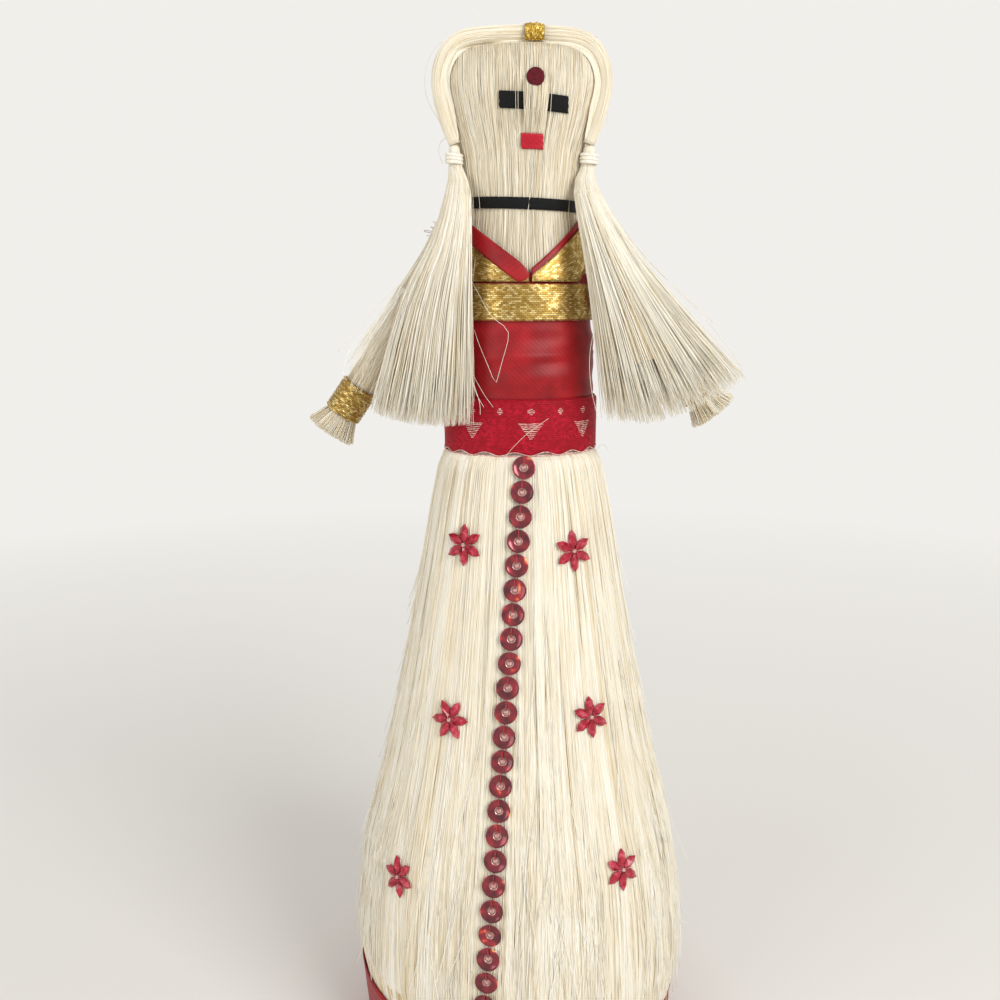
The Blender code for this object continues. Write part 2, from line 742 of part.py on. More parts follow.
def make_tube(name, start, end, radius, flare, thickness, material, parent):
    """A wrap round an arm between two distances from the shoulder."""
    rings = [
        circle(radius, -start, SMALL_SEGMENTS),
        circle(radius + thickness, -start, SMALL_SEGMENTS),
        circle(radius + thickness + flare, -end, SMALL_SEGMENTS),
        circle(radius + flare, -end, SMALL_SEGMENTS),
    ]
    loft(name, rings, material, parent, ring_shaped=True)


def make_arm(side, fibre, satin, gold):
    turn = -SIDES[side] * math.radians(90 - ARM_ANGLE[side])
    place = (SIDES[side] * shoulder_x(), SHOULDER_BACK, SHOULDER_Z)
    shoulder = joint_at("shoulder_" + side, place, turn)
    length = ARM_LENGTH[side]
    wrist = length - HAND_LENGTH
    stations = [round_station(0, SHOULDER_RADIUS)]
    stations += [round_station(-drop, ARM_RADIUS) for drop in (SHOULDER_RADIUS / 2, wrist / 2, wrist)]
    across = Vector((HAND_HALF_WIDTH, 0, 0))
    back = Vector((0, HAND_HALF_DEPTH, 0))
    stations.append((Vector((0, 0, -length)), across, back))
    bundle("arm_" + side, SHOULDER_RADIUS, stations, HAND_CELLS, HAND_SAG, fibre, shoulder)
    radius = ARM_RADIUS + GAP
    sleeve_end = SLEEVE_START + SLEEVE_LENGTH
    make_tube("sleeve_" + side, SLEEVE_START, sleeve_end, radius, SLEEVE_FLARE, CLOTH, satin, shoulder)
    cuff_start = wrist - GAP - CUFF_LENGTH
    make_tube("cuff_" + side, cuff_start, wrist - GAP, radius, 0, RIBBON, gold, shoulder)


def make_sequins(foil):
    """A row of cupped sequins down the front, edge to edge along the skirt."""
    rim = SEQUIN_CUP + SEQUIN_THICKNESS
    profile = (
        (SEQUIN_HOLE_RADIUS, 0),
        (SEQUIN_RADIUS, SEQUIN_CUP),
        (SEQUIN_RADIUS, rim),
        (SEQUIN_HOLE_RADIUS, SEQUIN_THICKNESS),
    )
    rings = [circle(radius, z, SEQUIN_SEGMENTS) for radius, z in profile]
    first_z = WAIST_HEIGHT - SEQUIN_TOP_DROP
    drops = np.linspace(0, first_z - HEM_WIDTH, LINE_STEPS)
    sides = SEQUIN_TOP_SIDE - SEQUIN_SLANT_SHARE * drops
    line = np.array([skirt_front(x, first_z - drop) for x, drop in zip(sides, drops)])
    along = np.concatenate([[0], np.cumsum(np.linalg.norm(np.diff(line, axis=0), axis=1))])
    pitch = 2 * SEQUIN_RADIUS + GAP
    count = 1 + int((along[-1] - SEQUIN_RADIUS - GAP) / pitch)
    shared = None
    for number in range(count):
        drop = float(np.interp(number * pitch, along, drops))
        name = f"sequin_{number + 1:02d}"
        if shared is None:
            sequin = loft(name, rings, foil, ring_shaped=True)
            shared = sequin.data
        else:
            sequin = bpy.data.objects.new(name, shared)
            bpy.context.scene.collection.objects.link(sequin)
        x = SEQUIN_TOP_SIDE - SEQUIN_SLANT_SHARE * drop
        z = first_z - drop
        sequin.matrix_world = trim_seat(skirt_front, x, z, SEQUIN_RADIUS, LOCK_HEIGHT + GAP)


def flower_mesh(name):
    """Petals cut like gems, each with a ridge from the middle to its tip."""
    bm = bmesh.new()
    petal = 2 * math.pi / FLOWER_PETALS
    edge = []
    for number in range(FLOWER_PETALS):
        for reach, turn in PETAL_SHARES:
            angle = petal * (number + turn)
            x = FLOWER_RADIUS * reach * math.cos(angle)
            y = FLOWER_RADIUS * reach * math.sin(angle)
            edge.append((x, y))
    low = [bm.verts.new((x, y, 0)) for x, y in edge]
    high = [bm.verts.new((x, y, FLOWER_EDGE)) for x, y in edge]
    middle = bm.verts.new((0, 0, FLOWER_EDGE))
    bm.faces.new(low)
    for i in range(len(low)):
        j = (i + 1) % len(low)
        bm.faces.new((low[i], low[j], high[j], high[i]))
    for number in range(FLOWER_PETALS):
        angle = petal * (number + 1 / 2)
        reach = FLOWER_RADIUS * PETAL_RIDGE_SHARE
        ridge = bm.verts.new((reach * math.cos(angle), reach * math.sin(angle), FLOWER_HEIGHT))
        start = number * len(PETAL_SHARES)
        outline = [high[(start + i) % len(high)] for i in range(len(PETAL_SHARES) + 1)]
        for a, b in zip(outline, outline[1:]):
            bm.faces.new((a, b, ridge))
        bm.faces.new((middle, outline[0], ridge))
        bm.faces.new((outline[-1], middle, ridge))
    mesh = mesh_from(bm, name)
    mesh.shade_flat()
    return mesh


def make_flowers(acrylic):
    mesh = flower_mesh("flower")
    mesh.materials.append(acrylic)
    for number, (height, across) in enumerate(FLOWER_SHARES):
        flower = bpy.data.objects.new(f"flower_{number + 1}", mesh)
        bpy.context.scene.collection.objects.link(flower)
        z = height * WAIST_HEIGHT
        x = across * skirt_half_width(z)
        flower.matrix_world = trim_seat(skirt_front, x, z, SEQUIN_RADIUS, LOCK_HEIGHT + GAP)


def build_doll():
    clear_scene()
    fibre = finish("combed ivory fibre", 232, 221, 194, 0.5)
    wad = finish("waste fibre wad", 205, 190, 158, 0.9)
    card = finish("grey card", 176, 160, 130, 0.85)
    satin = finish("red satin", 186, 22, 34, 0.4)
    woven = finish("red woven trim", 166, 18, 32, 0.75)
    gold = finish("gold foil ribbon", 205, 160, 62, 0.3, 0.85)
    black = finish("black ribbon", 20, 21, 26, 0.6)
    felt = finish("maroon felt", 104, 22, 34, 0.95)
    cord = finish("cream cotton cord", 234, 226, 204, 0.8)
    foil = finish("red sequin film", 156, 22, 36, 0.2, 0.6)
    acrylic = finish("red acrylic", 190, 24, 44, 0.15)
    make_base_disc(card)
    make_skirt_cone(card)
    make_skirt_fibre(fibre)
    make_hem_ribbon(satin)
    make_core_wad(wad)
    make_body_hank(fibre)
    make_clothes(satin, woven, gold, black)
    make_face(black, satin, felt)
    make_hair_roll(fibre)
    make_knot(gold)
    for side in SIDES:
        make_tail(side, fibre, cord)
        make_arm(side, fibre, satin, gold)
    make_sequins(foil)
    make_flowers(acrylic)


build_doll()
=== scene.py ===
import json
import math

import bmesh
import bpy
import numpy as np
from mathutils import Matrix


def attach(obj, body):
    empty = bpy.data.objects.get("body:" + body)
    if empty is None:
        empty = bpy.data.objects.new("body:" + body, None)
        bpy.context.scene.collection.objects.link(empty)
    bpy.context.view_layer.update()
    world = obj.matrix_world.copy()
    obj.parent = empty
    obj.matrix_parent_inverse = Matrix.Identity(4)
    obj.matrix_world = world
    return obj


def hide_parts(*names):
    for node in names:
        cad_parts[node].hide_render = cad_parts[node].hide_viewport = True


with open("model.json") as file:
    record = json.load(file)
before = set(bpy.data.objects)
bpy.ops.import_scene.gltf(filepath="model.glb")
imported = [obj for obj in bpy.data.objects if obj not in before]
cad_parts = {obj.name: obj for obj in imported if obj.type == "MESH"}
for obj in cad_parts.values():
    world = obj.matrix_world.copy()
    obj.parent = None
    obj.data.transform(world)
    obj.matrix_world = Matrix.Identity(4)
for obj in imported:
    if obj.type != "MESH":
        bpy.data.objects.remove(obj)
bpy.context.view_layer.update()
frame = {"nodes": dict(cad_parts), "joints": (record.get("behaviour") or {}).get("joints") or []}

nodes = frame["nodes"]
rng = np.random.default_rng(11)


# Table top, light and camera
# A plain pale table top that runs out into a pale ground. A large soft lamp stands at the
# right, as in the picture, with a weaker one at the left, and the camera is a forearm away.
MM = 0.001
GROUND = "#F1EFEB"


def linear(colour):
    """A written sRGB colour as linear light."""
    channels = [int(colour[i:i + 2], 16) / 255 for i in (1, 3, 5)]
    return [c / 12.92 if c <= 0.04045 else ((c + 0.055) / 1.055) ** 2.4 for c in channels] + [1]


def add(tree, kind, sockets=None, stops=(), to=None, **settings):
    """Adds a node. A socket's value is a number, a written colour or the output that it links from.

    The node's first output goes to the socket that is given as to.
    """
    node = tree.nodes.new("ShaderNode" + kind)
    for key, value in settings.items():
        setattr(node, key, value)
    for key, value in (sockets or {}).items():
        if isinstance(value, bpy.types.NodeSocket):
            tree.links.new(value, node.inputs[key])
        else:
            node.inputs[key].default_value = linear(value) if isinstance(value, str) else value
    if stops:
        ramp = node.color_ramp.elements
        while len(ramp) < len(stops):
            ramp.new(1)
        for element, (position, colour) in zip(ramp, stops):
            element.position = position
            element.color = linear(colour)
    if to is not None:
        tree.links.new(node.outputs[0], to)
    return node


def start_material(name, colour, roughness, **sockets):
    """A material with its one shader, set to what the surface is on the whole."""
    material = bpy.data.materials.new(name)
    material.use_nodes = True
    shader = material.node_tree.nodes["Principled BSDF"]
    shader.inputs["Base Color"].default_value = linear(colour)
    shader.inputs["Roughness"].default_value = roughness
    for key, value in sockets.items():
        shader.inputs[key.replace("_", " ")].default_value = value
    return material, material.node_tree, shader


def seen_straight(tree):
    """A node that gives 1 where the camera sees a surface straight or mirrored, else 0."""
    seen = add(tree, "LightPath")
    rays = {0: seen.outputs["Is Camera Ray"], 1: seen.outputs["Is Glossy Ray"]}
    return add(tree, "Math", rays, operation="MAXIMUM")


# Matt paper: only the doll's soft shadow shows on it, and it fades into the ground colour
paper, tree, shader = start_material("matt_paper", "#E9E7E3", 0.9)
where = add(tree, "NewGeometry")
distance = add(tree, "VectorMath", {0: where.outputs["Position"]}, operation="LENGTH")
fade = add(tree, "MapRange", {"Value": distance.outputs["Value"], "From Min": 0.15, "From Max": 0.75})
straight = seen_straight(tree)
share = add(tree, "Math", {0: fade.outputs["Result"], 1: straight.outputs[0]}, operation="MULTIPLY")
glow = add(tree, "Emission", {"Color": GROUND})
mixed = add(tree, "MixShader", {0: share.outputs[0], 1: shader.outputs[0], 2: glow.outputs[0]})
tree.links.new(mixed.outputs[0], tree.nodes["Material Output"].inputs["Surface"])

bpy.ops.mesh.primitive_circle_add(vertices=96, radius=6, fill_type="NGON")
table_top = bpy.context.object
table_top.name = "table_top"
table_top.data.materials.append(paper)

world = bpy.data.worlds.new("soft_room")
world.use_nodes = True
bpy.context.scene.world = world
tree = world.node_tree
straight = seen_straight(tree)
room = add(tree, "Background", {"Color": "#F4F1EC", "Strength": 0.56})
ground = add(tree, "Background", {"Color": GROUND, "Strength": 1})
mixed = add(tree, "MixShader", {0: straight.outputs[0], 1: room.outputs[0], 2: ground.outputs[0]})
tree.links.new(mixed.outputs[0], tree.nodes["World Output"].inputs["Surface"])

for name, place, size, power in (
    ("window_lamp", (0.54, -0.7, 0.6), 0.5, 6.3),
    ("fill_lamp", (-0.7, -0.62, 0.35), 0.6, 2.6),
    ("back_lamp", (0.1, 0.8, 0.7), 0.6, 1.9),
):
    lamp = bpy.data.lights.new(name, "AREA")
    lamp.size = size
    lamp.energy = power
    stand = bpy.data.objects.new(name, lamp)
    bpy.context.scene.collection.objects.link(stand)
    stand.location = place
    aim = bpy.data.objects["table_top"].location.copy()
    aim.z = 150 * MM
    stand.rotation_euler = (aim - stand.location).to_track_quat("-Z", "Y").to_euler()

camera = bpy.data.objects.new("camera", bpy.data.cameras.new("camera"))
bpy.context.scene.collection.objects.link(camera)
camera.data.lens = 37.8
camera.location = (-5.5 * MM, -284 * MM, 218.4 * MM)
camera.rotation_euler = (math.radians(90 - 11.7), 0, 0)
bpy.context.scene.camera = camera
bpy.context.scene.view_settings.view_transform = "Standard"


# Card cone and disc inside the skirt
# Grey board rolled into a cone that holds the skirt out, closed by a glued disc that the
# doll stands on. Only the disc's underside can be seen.


def mottle(tree, shader, size, stops, detail):
    """Colours a surface in soft patches of about this size, and gives their noise."""
    coords = add(tree, "TexCoord")
    noise = add(tree, "TexNoise", {"Vector": coords.outputs["Object"], "Scale": 1 / size, "Detail": detail})
    add(tree, "ValToRGB", {0: noise.outputs["Fac"]}, to=shader.inputs["Base Color"], stops=stops)
    return noise


# Grey board: soft recycled pulp with darker flecks
board, tree, shader = start_material("grey_board", "#A89A80", 0.9)
flecks = mottle(tree, shader, 0.8 * MM, ((0.35, "#8C7F68"), (0.6, "#AD9F85"), (0.75, "#B9AD95")), detail=4)
add(tree, "Bump", {"Height": flecks.outputs["Fac"], "Strength": 0.3, "Distance": 0.05 * MM},
    to=shader.inputs["Normal"])
for name in ("base_disc", "skirt_cone"):
    nodes[name].data.materials.clear()
    nodes[name].data.materials.append(board)


# Skirt of combed fibre
# One hank of long ivory fibre, tied in at the waist and combed down to the hem. A packed
# layer lies on the cone, and over it run fine loose strands in locks that part and close.


def smooth(stations, steps):
    """A Catmull-Rom curve through the stations, with this many steps from each to the next."""
    known = np.array(stations, float)
    padded = np.concatenate([[2 * known[0] - known[1]], known, [2 * known[-1] - known[-2]]])
    points = []
    for a, b, c, d in zip(padded, padded[1:], padded[2:], padded[3:]):
        for t in np.arange(steps) / steps:
            points.append(b + (c - a + (2 * a - 5 * b + 4 * c - d + (3 * (b - c) + d - a) * t) * t) * t / 2)
    return np.array(points + [known[-1]])


def even_steps(line, steps):
    """The same line as this many points at equal distances."""
    length = np.concatenate([[0], np.linalg.norm(np.diff(line, axis=0), axis=1).cumsum()])
    spots = np.linspace(0, length[-1], steps)
    return np.column_stack([np.interp(spots, length, line[:, k]) for k in range(3)])


def levels(name, least, lowest, highest):
    """Heights of a solid's rings between two heights, each with its half-width and half-depth."""
    points = np.array([v.co for v in nodes[name].data.vertices])
    rows = []
    for z in np.unique(points[:, 2].round(6)):
        ring = abs(points[abs(points[:, 2] - z) < 2e-6])
        if len(ring) >= least and lowest < z < highest:
            rows.append((z, ring[:, 0].max(), ring[:, 1].max()))
    return rows


def add_mesh(name, points, faces, material, body, stands_for=()):
    """A piece of the doll in its place, which rides on a body and stands for solids."""
    mesh = bpy.data.meshes.new(name)
    mesh.from_pydata(points, [], faces)
    mesh.materials.append(material)
    mesh.shade_smooth()
    piece = bpy.data.objects.new(name, mesh)
    bpy.context.scene.collection.objects.link(piece)
    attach(piece, body)
    if stands_for:
        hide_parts(*stands_for)
    return piece


def add_strands(name, paths, radii, outward, tones, material, body, stands_for=()):
    """Many four-sided strands as one piece: paths is strands by points by 3.

    Thicknesses, directions and tones are one for all, one for each strand or one for each point.
    """
    radii, tones = np.broadcast_to(radii, paths.shape[:2]), np.clip(tones, 0, 1) + np.zeros(len(paths))
    run = np.gradient(paths, axis=1)
    run /= np.linalg.norm(run, axis=2, keepdims=True)
    side = np.cross(run, outward)
    side /= np.linalg.norm(side, axis=2, keepdims=True)
    up = np.cross(side, run)
    turn = np.pi * (np.arange(4)[:, None] + 0.5) / 2
    ring = np.cos(turn) * side[:, :, None] + np.sin(turn) * up[:, :, None]
    ring = paths[:, :, None] + radii[:, :, None, None] * ring
    count, steps = radii.shape
    first = 4 * (steps * np.arange(count)[:, None, None] + np.arange(steps - 1)[:, None])
    a, b = first + np.arange(4), first + (np.arange(4) + 1) % 4
    walls = np.stack([b, a, a + 4, b + 4], -1).reshape(-1, 4)
    root = 4 * steps * np.arange(count)[:, None] + np.arange(4)
    faces = np.concatenate([walls, root, root[:, ::-1] + 4 * (steps - 1)])
    piece = add_mesh(name, ring.reshape(-1, 3), faces.tolist(), material, body, stands_for)
    tone = piece.data.attributes.new("tone", "FLOAT", "POINT")
    tone.data.foreach_set("value", np.repeat(tones, 4 * steps).astype(np.float32))
    return piece


def add_sheet(name, grid, material, body, stands_for=(), joined=False, turned=False):
    """A piece over a grid of rows of points, each a ring. Its UV map holds its own lengths in metres.

    The last row meets the first where joined is set, and else both ends are closed flat.
    """
    rows, cols = grid.shape[:2]
    full = np.pad(grid, ((0, int(joined)), (0, 1), (0, 0)), mode="wrap")
    along = np.linalg.norm(np.diff(full, axis=1), axis=2).mean(0).cumsum()
    across = np.linalg.norm(np.diff(full, axis=0), axis=2).mean(1).cumsum()
    along, across = np.concatenate([[0], along]), np.concatenate([[0], across])
    i, j = np.meshgrid(np.arange(len(across) - 1), np.arange(len(along) - 1), indexing="ij")
    corners = ((i, j), (i, j + 1), (i + 1, j + 1), (i + 1, j))
    faces = np.stack([(a % rows) * cols + b % cols for a, b in corners], -1).reshape(-1, 4).tolist()
    places = np.stack([np.stack([along[b], across[a]], -1) for a, b in corners], 2).reshape(-1, 2)
    if turned:
        places = places[:, ::-1]
    if not joined:
        faces += [list(range(cols)), list(range((rows - 1) * cols, rows * cols))]
        places = np.concatenate([places] + [np.zeros((cols, 2))] * 2)
    piece = add_mesh(name, grid.reshape(-1, 3), faces, material, body, stands_for)
    layer = piece.data.uv_layers.new(name="cloth")
    layer.uv.foreach_set("vector", places.astype(np.float32).ravel())
    shell = bmesh.new()
    shell.from_mesh(piece.data)
    bmesh.ops.recalc_face_normals(shell, faces=shell.faces)
    shell.to_mesh(piece.data)
    shell.free()
    return piece


skirt = levels("hem_ribbon", 40, -MM, 23 * MM) + levels("skirt_fibre", 90, 22.4 * MM, 174 * MM)
skirt = smooth(skirt, 8)
skirt = np.vstack([skirt, [(174 * MM, 19.7 * MM, 15.2 * MM), (175.6 * MM, 19.4 * MM, 14.9 * MM)]])


def all_round(steps):
    """Angles at equal steps all the way round."""
    return np.linspace(0, 2 * np.pi, steps, endpoint=False)


def ring(radius, angle, height):
    """Points round an upright axis."""
    return np.stack(np.broadcast_arrays(radius * np.cos(angle), radius * np.sin(angle), height), -1)


def outward_at(angle, rise):
    """Directions away from the doll's axis, tipped up by this much."""
    return ring(1, angle, rise)


def outline_point(stations, angle, z, out):
    """Points this far out from the outline that these stations give at each height."""
    wide, deep = (np.interp(z, stations[:, 0], stations[:, k]) + out for k in (1, 2))
    return np.stack(np.broadcast_arrays(wide * np.cos(angle), deep * np.sin(angle), z), -1)


def skirt_point(angle, z, out):
    return outline_point(skirt, angle, z, out)


def hem_edge(angle):
    """Height of the hem ribbon's upper edge, which was tied on a little askew."""
    return (21 - 4 * np.cos(angle)) * MM


def waves(along, count, fewest, most):
    """A slow sine along each strand, with a pitch and a start of its own."""
    pitch = rng.uniform(fewest, most, (count, 1))
    return np.sin(2 * np.pi * along * pitch + rng.uniform(0, 6.3, (count, 1)))


# Combed plant fibre: waxy ivory strands, some golden, with a silky shine along them
fibre, tree, shader = start_material("combed_fibre", "#E8DCC2", 0.45, Specular_IOR_Level=0.4,
                                     Sheen_Weight=0.12)
strand = add(tree, "Attribute", attribute_name="tone")
coords = add(tree, "TexCoord")
patches = add(tree, "TexNoise", {"Vector": coords.outputs["Object"], "Scale": 1 / (9 * MM), "Detail": 2})
drift = add(tree, "MapRange", {"Value": patches.outputs["Fac"], "From Min": 0.3, "From Max": 0.7,
                               "To Min": -0.06, "To Max": 0.06})
total = add(tree, "Math", {0: strand.outputs["Fac"], 1: drift.outputs["Result"]}, operation="ADD")
add(tree, "ValToRGB", {0: total.outputs[0]}, to=shader.inputs["Base Color"], stops=(
    (0.0, "#C9B084"), (0.2, "#DCCAA4"), (0.45, "#EADFC6"), (0.75, "#F4EEDD"), (1.0, "#FBF8F0")))

# The imported layer below is the same fibre with painted shade: darker than the strands, in straw streaks about
# half a millimetre apart that stand for the shaded gaps between them
packed, tree, shader = start_material("packed_fibre", "#D2BC90", 0.6)
coords = add(tree, "TexCoord")
split = add(tree, "SeparateXYZ", {0: coords.outputs["Object"]})
behind = add(tree, "Math", {0: split.outputs["Y"], 1: -1}, operation="MULTIPLY")
angle = add(tree, "Math", {0: split.outputs["X"], 1: behind.outputs[0]}, operation="ARCTAN2")
spread = add(tree, "CombineXYZ", {"X": angle.outputs[0], "Z": split.outputs["Z"]})
scaled = add(tree, "VectorMath", {0: spread.outputs[0], 1: (60, 1, 1 / (40 * MM))}, operation="MULTIPLY")
streaks = add(tree, "TexNoise", {"Vector": scaled.outputs[0], "Scale": 1, "Detail": 3})
add(tree, "ValToRGB", {0: streaks.outputs["Fac"]}, to=shader.inputs["Base Color"],
    stops=((0.3, "#B1966A"), (0.5, "#D5C199"), (0.68, "#ECE2C9")))
add(tree, "Bump", {"Height": streaks.outputs["Fac"], "Strength": 0.5, "Distance": 0.2 * MM},
    to=shader.inputs["Normal"])

around = all_round(360)
ridge = 0.12 * MM * (np.sin(97 * around) + np.sin(61 * around + 1) + np.sin(143 * around + 2)) / 2
rings = []
for z in np.concatenate([[0, 8, 16], np.arange(24, 172, 5), [172.5, 173.6, 174, 175.5]]) * MM:
    under = np.where(z < hem_edge(around) + 0.6 * MM, -0.85 * MM, -0.32 * MM)
    rings.append(skirt_point(around, z, under + ridge * np.clip((175 * MM - z) / (20 * MM), 0, 1)))
for z, radius in ((175.5, 12.0), (175.5, 11.4), (0, 42.3)):
    rings.append(ring(radius, around, z) * MM)
add_sheet("skirt_packed_fibre", np.array(rings), packed, "doll", ["skirt_fibre"], joined=True)

HEIGHTS = np.array([175.4, 174.3, 173.4, 170, 160, 142, 120, 98, 79, 65, 53, 42, 33, 24, 12]) * MM
drop = (HEIGHTS[0] - HEIGHTS) / HEIGHTS[0]
centres = np.linspace(0, 2 * np.pi, 141)[:-1] + rng.uniform(-0.02, 0.02, 140)
lock_phase, lock_tone = rng.uniform(0, 2 * np.pi, 140), rng.normal(0, 0.06, 140)
for name, count, start in (
    ("skirt_front_left_strands", 1600, np.pi), ("skirt_front_right_strands", 1600, 1.5 * np.pi),
    ("skirt_back_right_strands", 1150, 0), ("skirt_back_left_strands", 1150, 0.5 * np.pi),
):
    root = start + (np.arange(count) + rng.random(count)) / count * np.pi / 2
    gap = (root[:, None] - centres + np.pi) % (2 * np.pi) - np.pi
    lock = abs(gap).argmin(1)
    apart = gap[np.arange(count), lock]
    phase = lock_phase[lock][:, None]
    pull = 0.2 + 0.35 * np.sin(np.pi * (1.5 * drop + phase / 3)) ** 2
    wander = (0.012 + 0.014 * drop) * waves(drop, count, 0.4, 1.8)
    astray = (rng.random((count, 1)) < 0.2) * rng.normal(0, 0.1,
                                                         (count, 1)) * (drop - rng.uniform(0.1, 0.7,
                                                                                           (count, 1)))
    angles = root[:, None] - apart[:, None] * pull + wander + astray
    lift = rng.uniform(-0.22, 0.12, (count, 1)) + 0.18 * np.sin(phase + 5 * drop) + 2.2 * abs(astray)
    inset = np.clip((HEIGHTS - hem_edge(angles) - 0.4 * MM) / (2 * MM), 0, 1)
    out = (lift * inset - 0.9 * (1 - inset)) * MM
    out[:, :3] = np.minimum(out[:, :3], -0.15 * MM)
    radii = (rng.uniform(0.07, 0.13, (count, 1)) + 0.035 * drop) * MM
    paths = skirt_point(angles, HEIGHTS, out)
    outward = outward_at(angles, 0.3)
    tones = rng.normal(0.64, 0.18, count) + lock_tone[lock]
    add_strands(name, paths, radii, outward, tones, fibre, "doll")

# Broken and loose strands lie over the rest, with their lower ends lifted and a little curled
COUNT, t = 900, np.linspace(0, 1, 16)
start = np.where(rng.random(COUNT) < 0.66, rng.uniform(-np.pi, 0, COUNT), rng.uniform(0, np.pi, COUNT))[:,
                                                                                                        None]
high = 62 + 106 * rng.random((COUNT, 1)) ** 1.4
low = np.maximum(high - rng.uniform(22, 75, (COUNT, 1)),
                 hem_edge(start) / MM + rng.uniform(1, 9, (COUNT, 1)))
z = high + (low - high) * t
bend = rng.normal(0, 1, (COUNT, 1))
swing = rng.normal(0, 0.07, (COUNT, 1)) * t + 0.05 * bend * t ** 3 + 0.012 * np.sin(7 * t + 3 * bend)
out = 0.12 - 0.5 * (1 - t) ** 6 + rng.uniform(0.1, 1, (COUNT, 1)) ** 3 * 2.2 * t ** 3
angles = start + swing
paths = skirt_point(angles, z * MM, out * MM)
outward = outward_at(angles, 0.3)
clear = np.ones(COUNT, bool)
for kind, room_left in (("sequin_", 4.5 * MM), ("flower_", 7 * MM)):
    for node in (nodes[name] for name in nodes if name.startswith(kind)):
        middle = np.mean([v.co for v in node.data.vertices], axis=0)
        clear &= (np.linalg.norm(paths - middle, axis=2) > room_left).all(1)
radii = rng.uniform(0.07, 0.12, (COUNT, 1)) * MM
tones = rng.normal(0.8, 0.2, COUNT)
add_strands("skirt_loose_strands", paths[clear], radii[clear], outward[clear], tones[clear], fibre,
            "doll")


def add_flyaways(name, lines, material, body, radius):
    """Single strands that have worked loose, each drawn through its own points in mm."""
    paths = np.array([even_steps(smooth(np.array(line) * MM, 8), 24) for line in lines])
    tones = rng.uniform(0.45, 0.95, len(paths))
    add_strands(name, paths, radius * MM, (0.1, -1.0, 0.2), tones, material, body)


add_flyaways("skirt_flyaways", [
    [(32, -12, 104), (35.5, -6, 94.7), (38.5, -2, 82.5), (44.8, 0, 63.9), (50.4, 0, 50.1)],
    [(40, -14, 66), (42.4, -13, 59.1), (45, -10, 53.7), (47.9, -8, 48.1)],
    [(42.5, -17, 46), (44.1, -13, 41.9), (45, -10, 38.5), (47.3, -8, 35.7), (49.1, -8, 34.7)],
    [(19.8, -3, 175), (20.8, -3, 174.1), (21.5, -2, 175.1), (23, -2, 175.1), (24.2, -2, 173.4)],
    [(-43, -8, 70), (-45.5, -6, 61), (-48, -5, 54)],
    [(-36, -20, 60), (-40, -20.5, 48), (-44, -21, 36), (-46, -20, 30)],
    [(12, 38, 76), (13, 41.5, 62), (13, 45, 49)],
    [(-20, 33, 80), (-24, 36, 66), (-25, 40.5, 52)],
], fibre, "doll", 0.07)


# Hem ribbon
# A wide red satin ribbon, wrapped flat round the hem and glued, a little higher at the left
# than at the right. Its lower edge is level with the floor.

# Polyester satin: smooth floats with a soft shine; the fine slanting ribs are only a hint
satin, tree, shader = start_material("red_satin", "#9A0E18", 0.42, Specular_IOR_Level=0.3, Anisotropic=0.4)
cloth = add(tree, "UVMap", uv_map="cloth")
ribs = add(tree, "VectorMath", {0: cloth.outputs[0], 1: (1 / (6 * MM),) * 3}, operation="MULTIPLY")
twill = add(tree, "TexWave", {"Vector": ribs.outputs[0], "Scale": 2.9, "Distortion": 2.5, "Detail": 2,
                              "Detail Scale": 3}, bands_direction="DIAGONAL")
coords = add(tree, "TexCoord")
soft = add(tree, "TexNoise", {"Vector": coords.outputs["Object"], "Scale": 1 / (6 * MM), "Detail": 4})
mix = add(tree, "Math", {0: twill.outputs["Fac"], 1: 0.12}, operation="MULTIPLY")
total = add(tree, "Math", {0: mix.outputs[0], 1: soft.outputs["Fac"]}, operation="ADD")
add(tree, "ValToRGB", {0: total.outputs[0]}, to=shader.inputs["Base Color"],
    stops=((0.3, "#7C0810"), (0.52, "#8C0B14"), (0.75, "#A2131B")))
add(tree, "Bump", {"Height": twill.outputs["Fac"], "Strength": 0.12, "Distance": 0.08 * MM},
    to=shader.inputs["Normal"])

around = all_round(240)
rows = []
for share in np.linspace(0, 1, 12):
    ripple = 0.12 * MM * np.sin(7 * around + 5 * share) * np.sin(np.pi * share)
    rows.append(skirt_point(around, share * hem_edge(around), ripple - 0.02 * MM))
for share in np.linspace(1, 0, 4):
    rows.append(skirt_point(around, share * hem_edge(around), -0.42 * MM))
hem = add_sheet("hem_satin_ribbon", np.array(rows), satin, "doll", ["hem_ribbon"], joined=True)


# Head, neck and chest
# One hank of the same fibre drawn over a wad from front to back, so that every strand runs up
# the face, over the crown and down the back. One lock of it lies over the eyes as the nose.
body = [row for row in levels("face_hank", 30, 0, 1) if abs(row[2] / row[1] - 0.76) < 0.002]
body = smooth(body, 6)
WIDEST = body[body[:, 1].argmax()]


def body_point(angle, z, out):
    return outline_point(body, angle, z, out)


def on_front(x, z, out):
    """Points in mm on the front of the body, this far out from it."""
    x, z = np.broadcast_arrays(np.array(x, float), np.array(z, float))
    wide = np.interp(z * MM, body[:, 0], body[:, 1]) / MM
    return body_point(-np.pi / 2 + np.arcsin(x / wide), z * MM, out * MM) / MM


around = all_round(240)
ridge = 0.07 * MM * (np.sin(83 * around) + np.sin(57 * around + 1))
heights = np.concatenate([[body[0, 0]], np.arange(190, 270, 2.5) * MM, body[body[:, 0] > 270 * MM, 0]])
rings = [body_point(around, z, ridge - 0.3 * MM) for z in heights]
rings = [rings[0] * (0.3, 0.3, 1)] + rings + [rings[-1] * (0.4, 0.4, 1)]
add_sheet("hank_packed_fibre", np.array(rings), packed, "doll", ["face_hank", "core_wad"])

# The face looks a little to the right, so its middle is there, in mm
FACE_X = 3.0
EYE_Z = 261.56


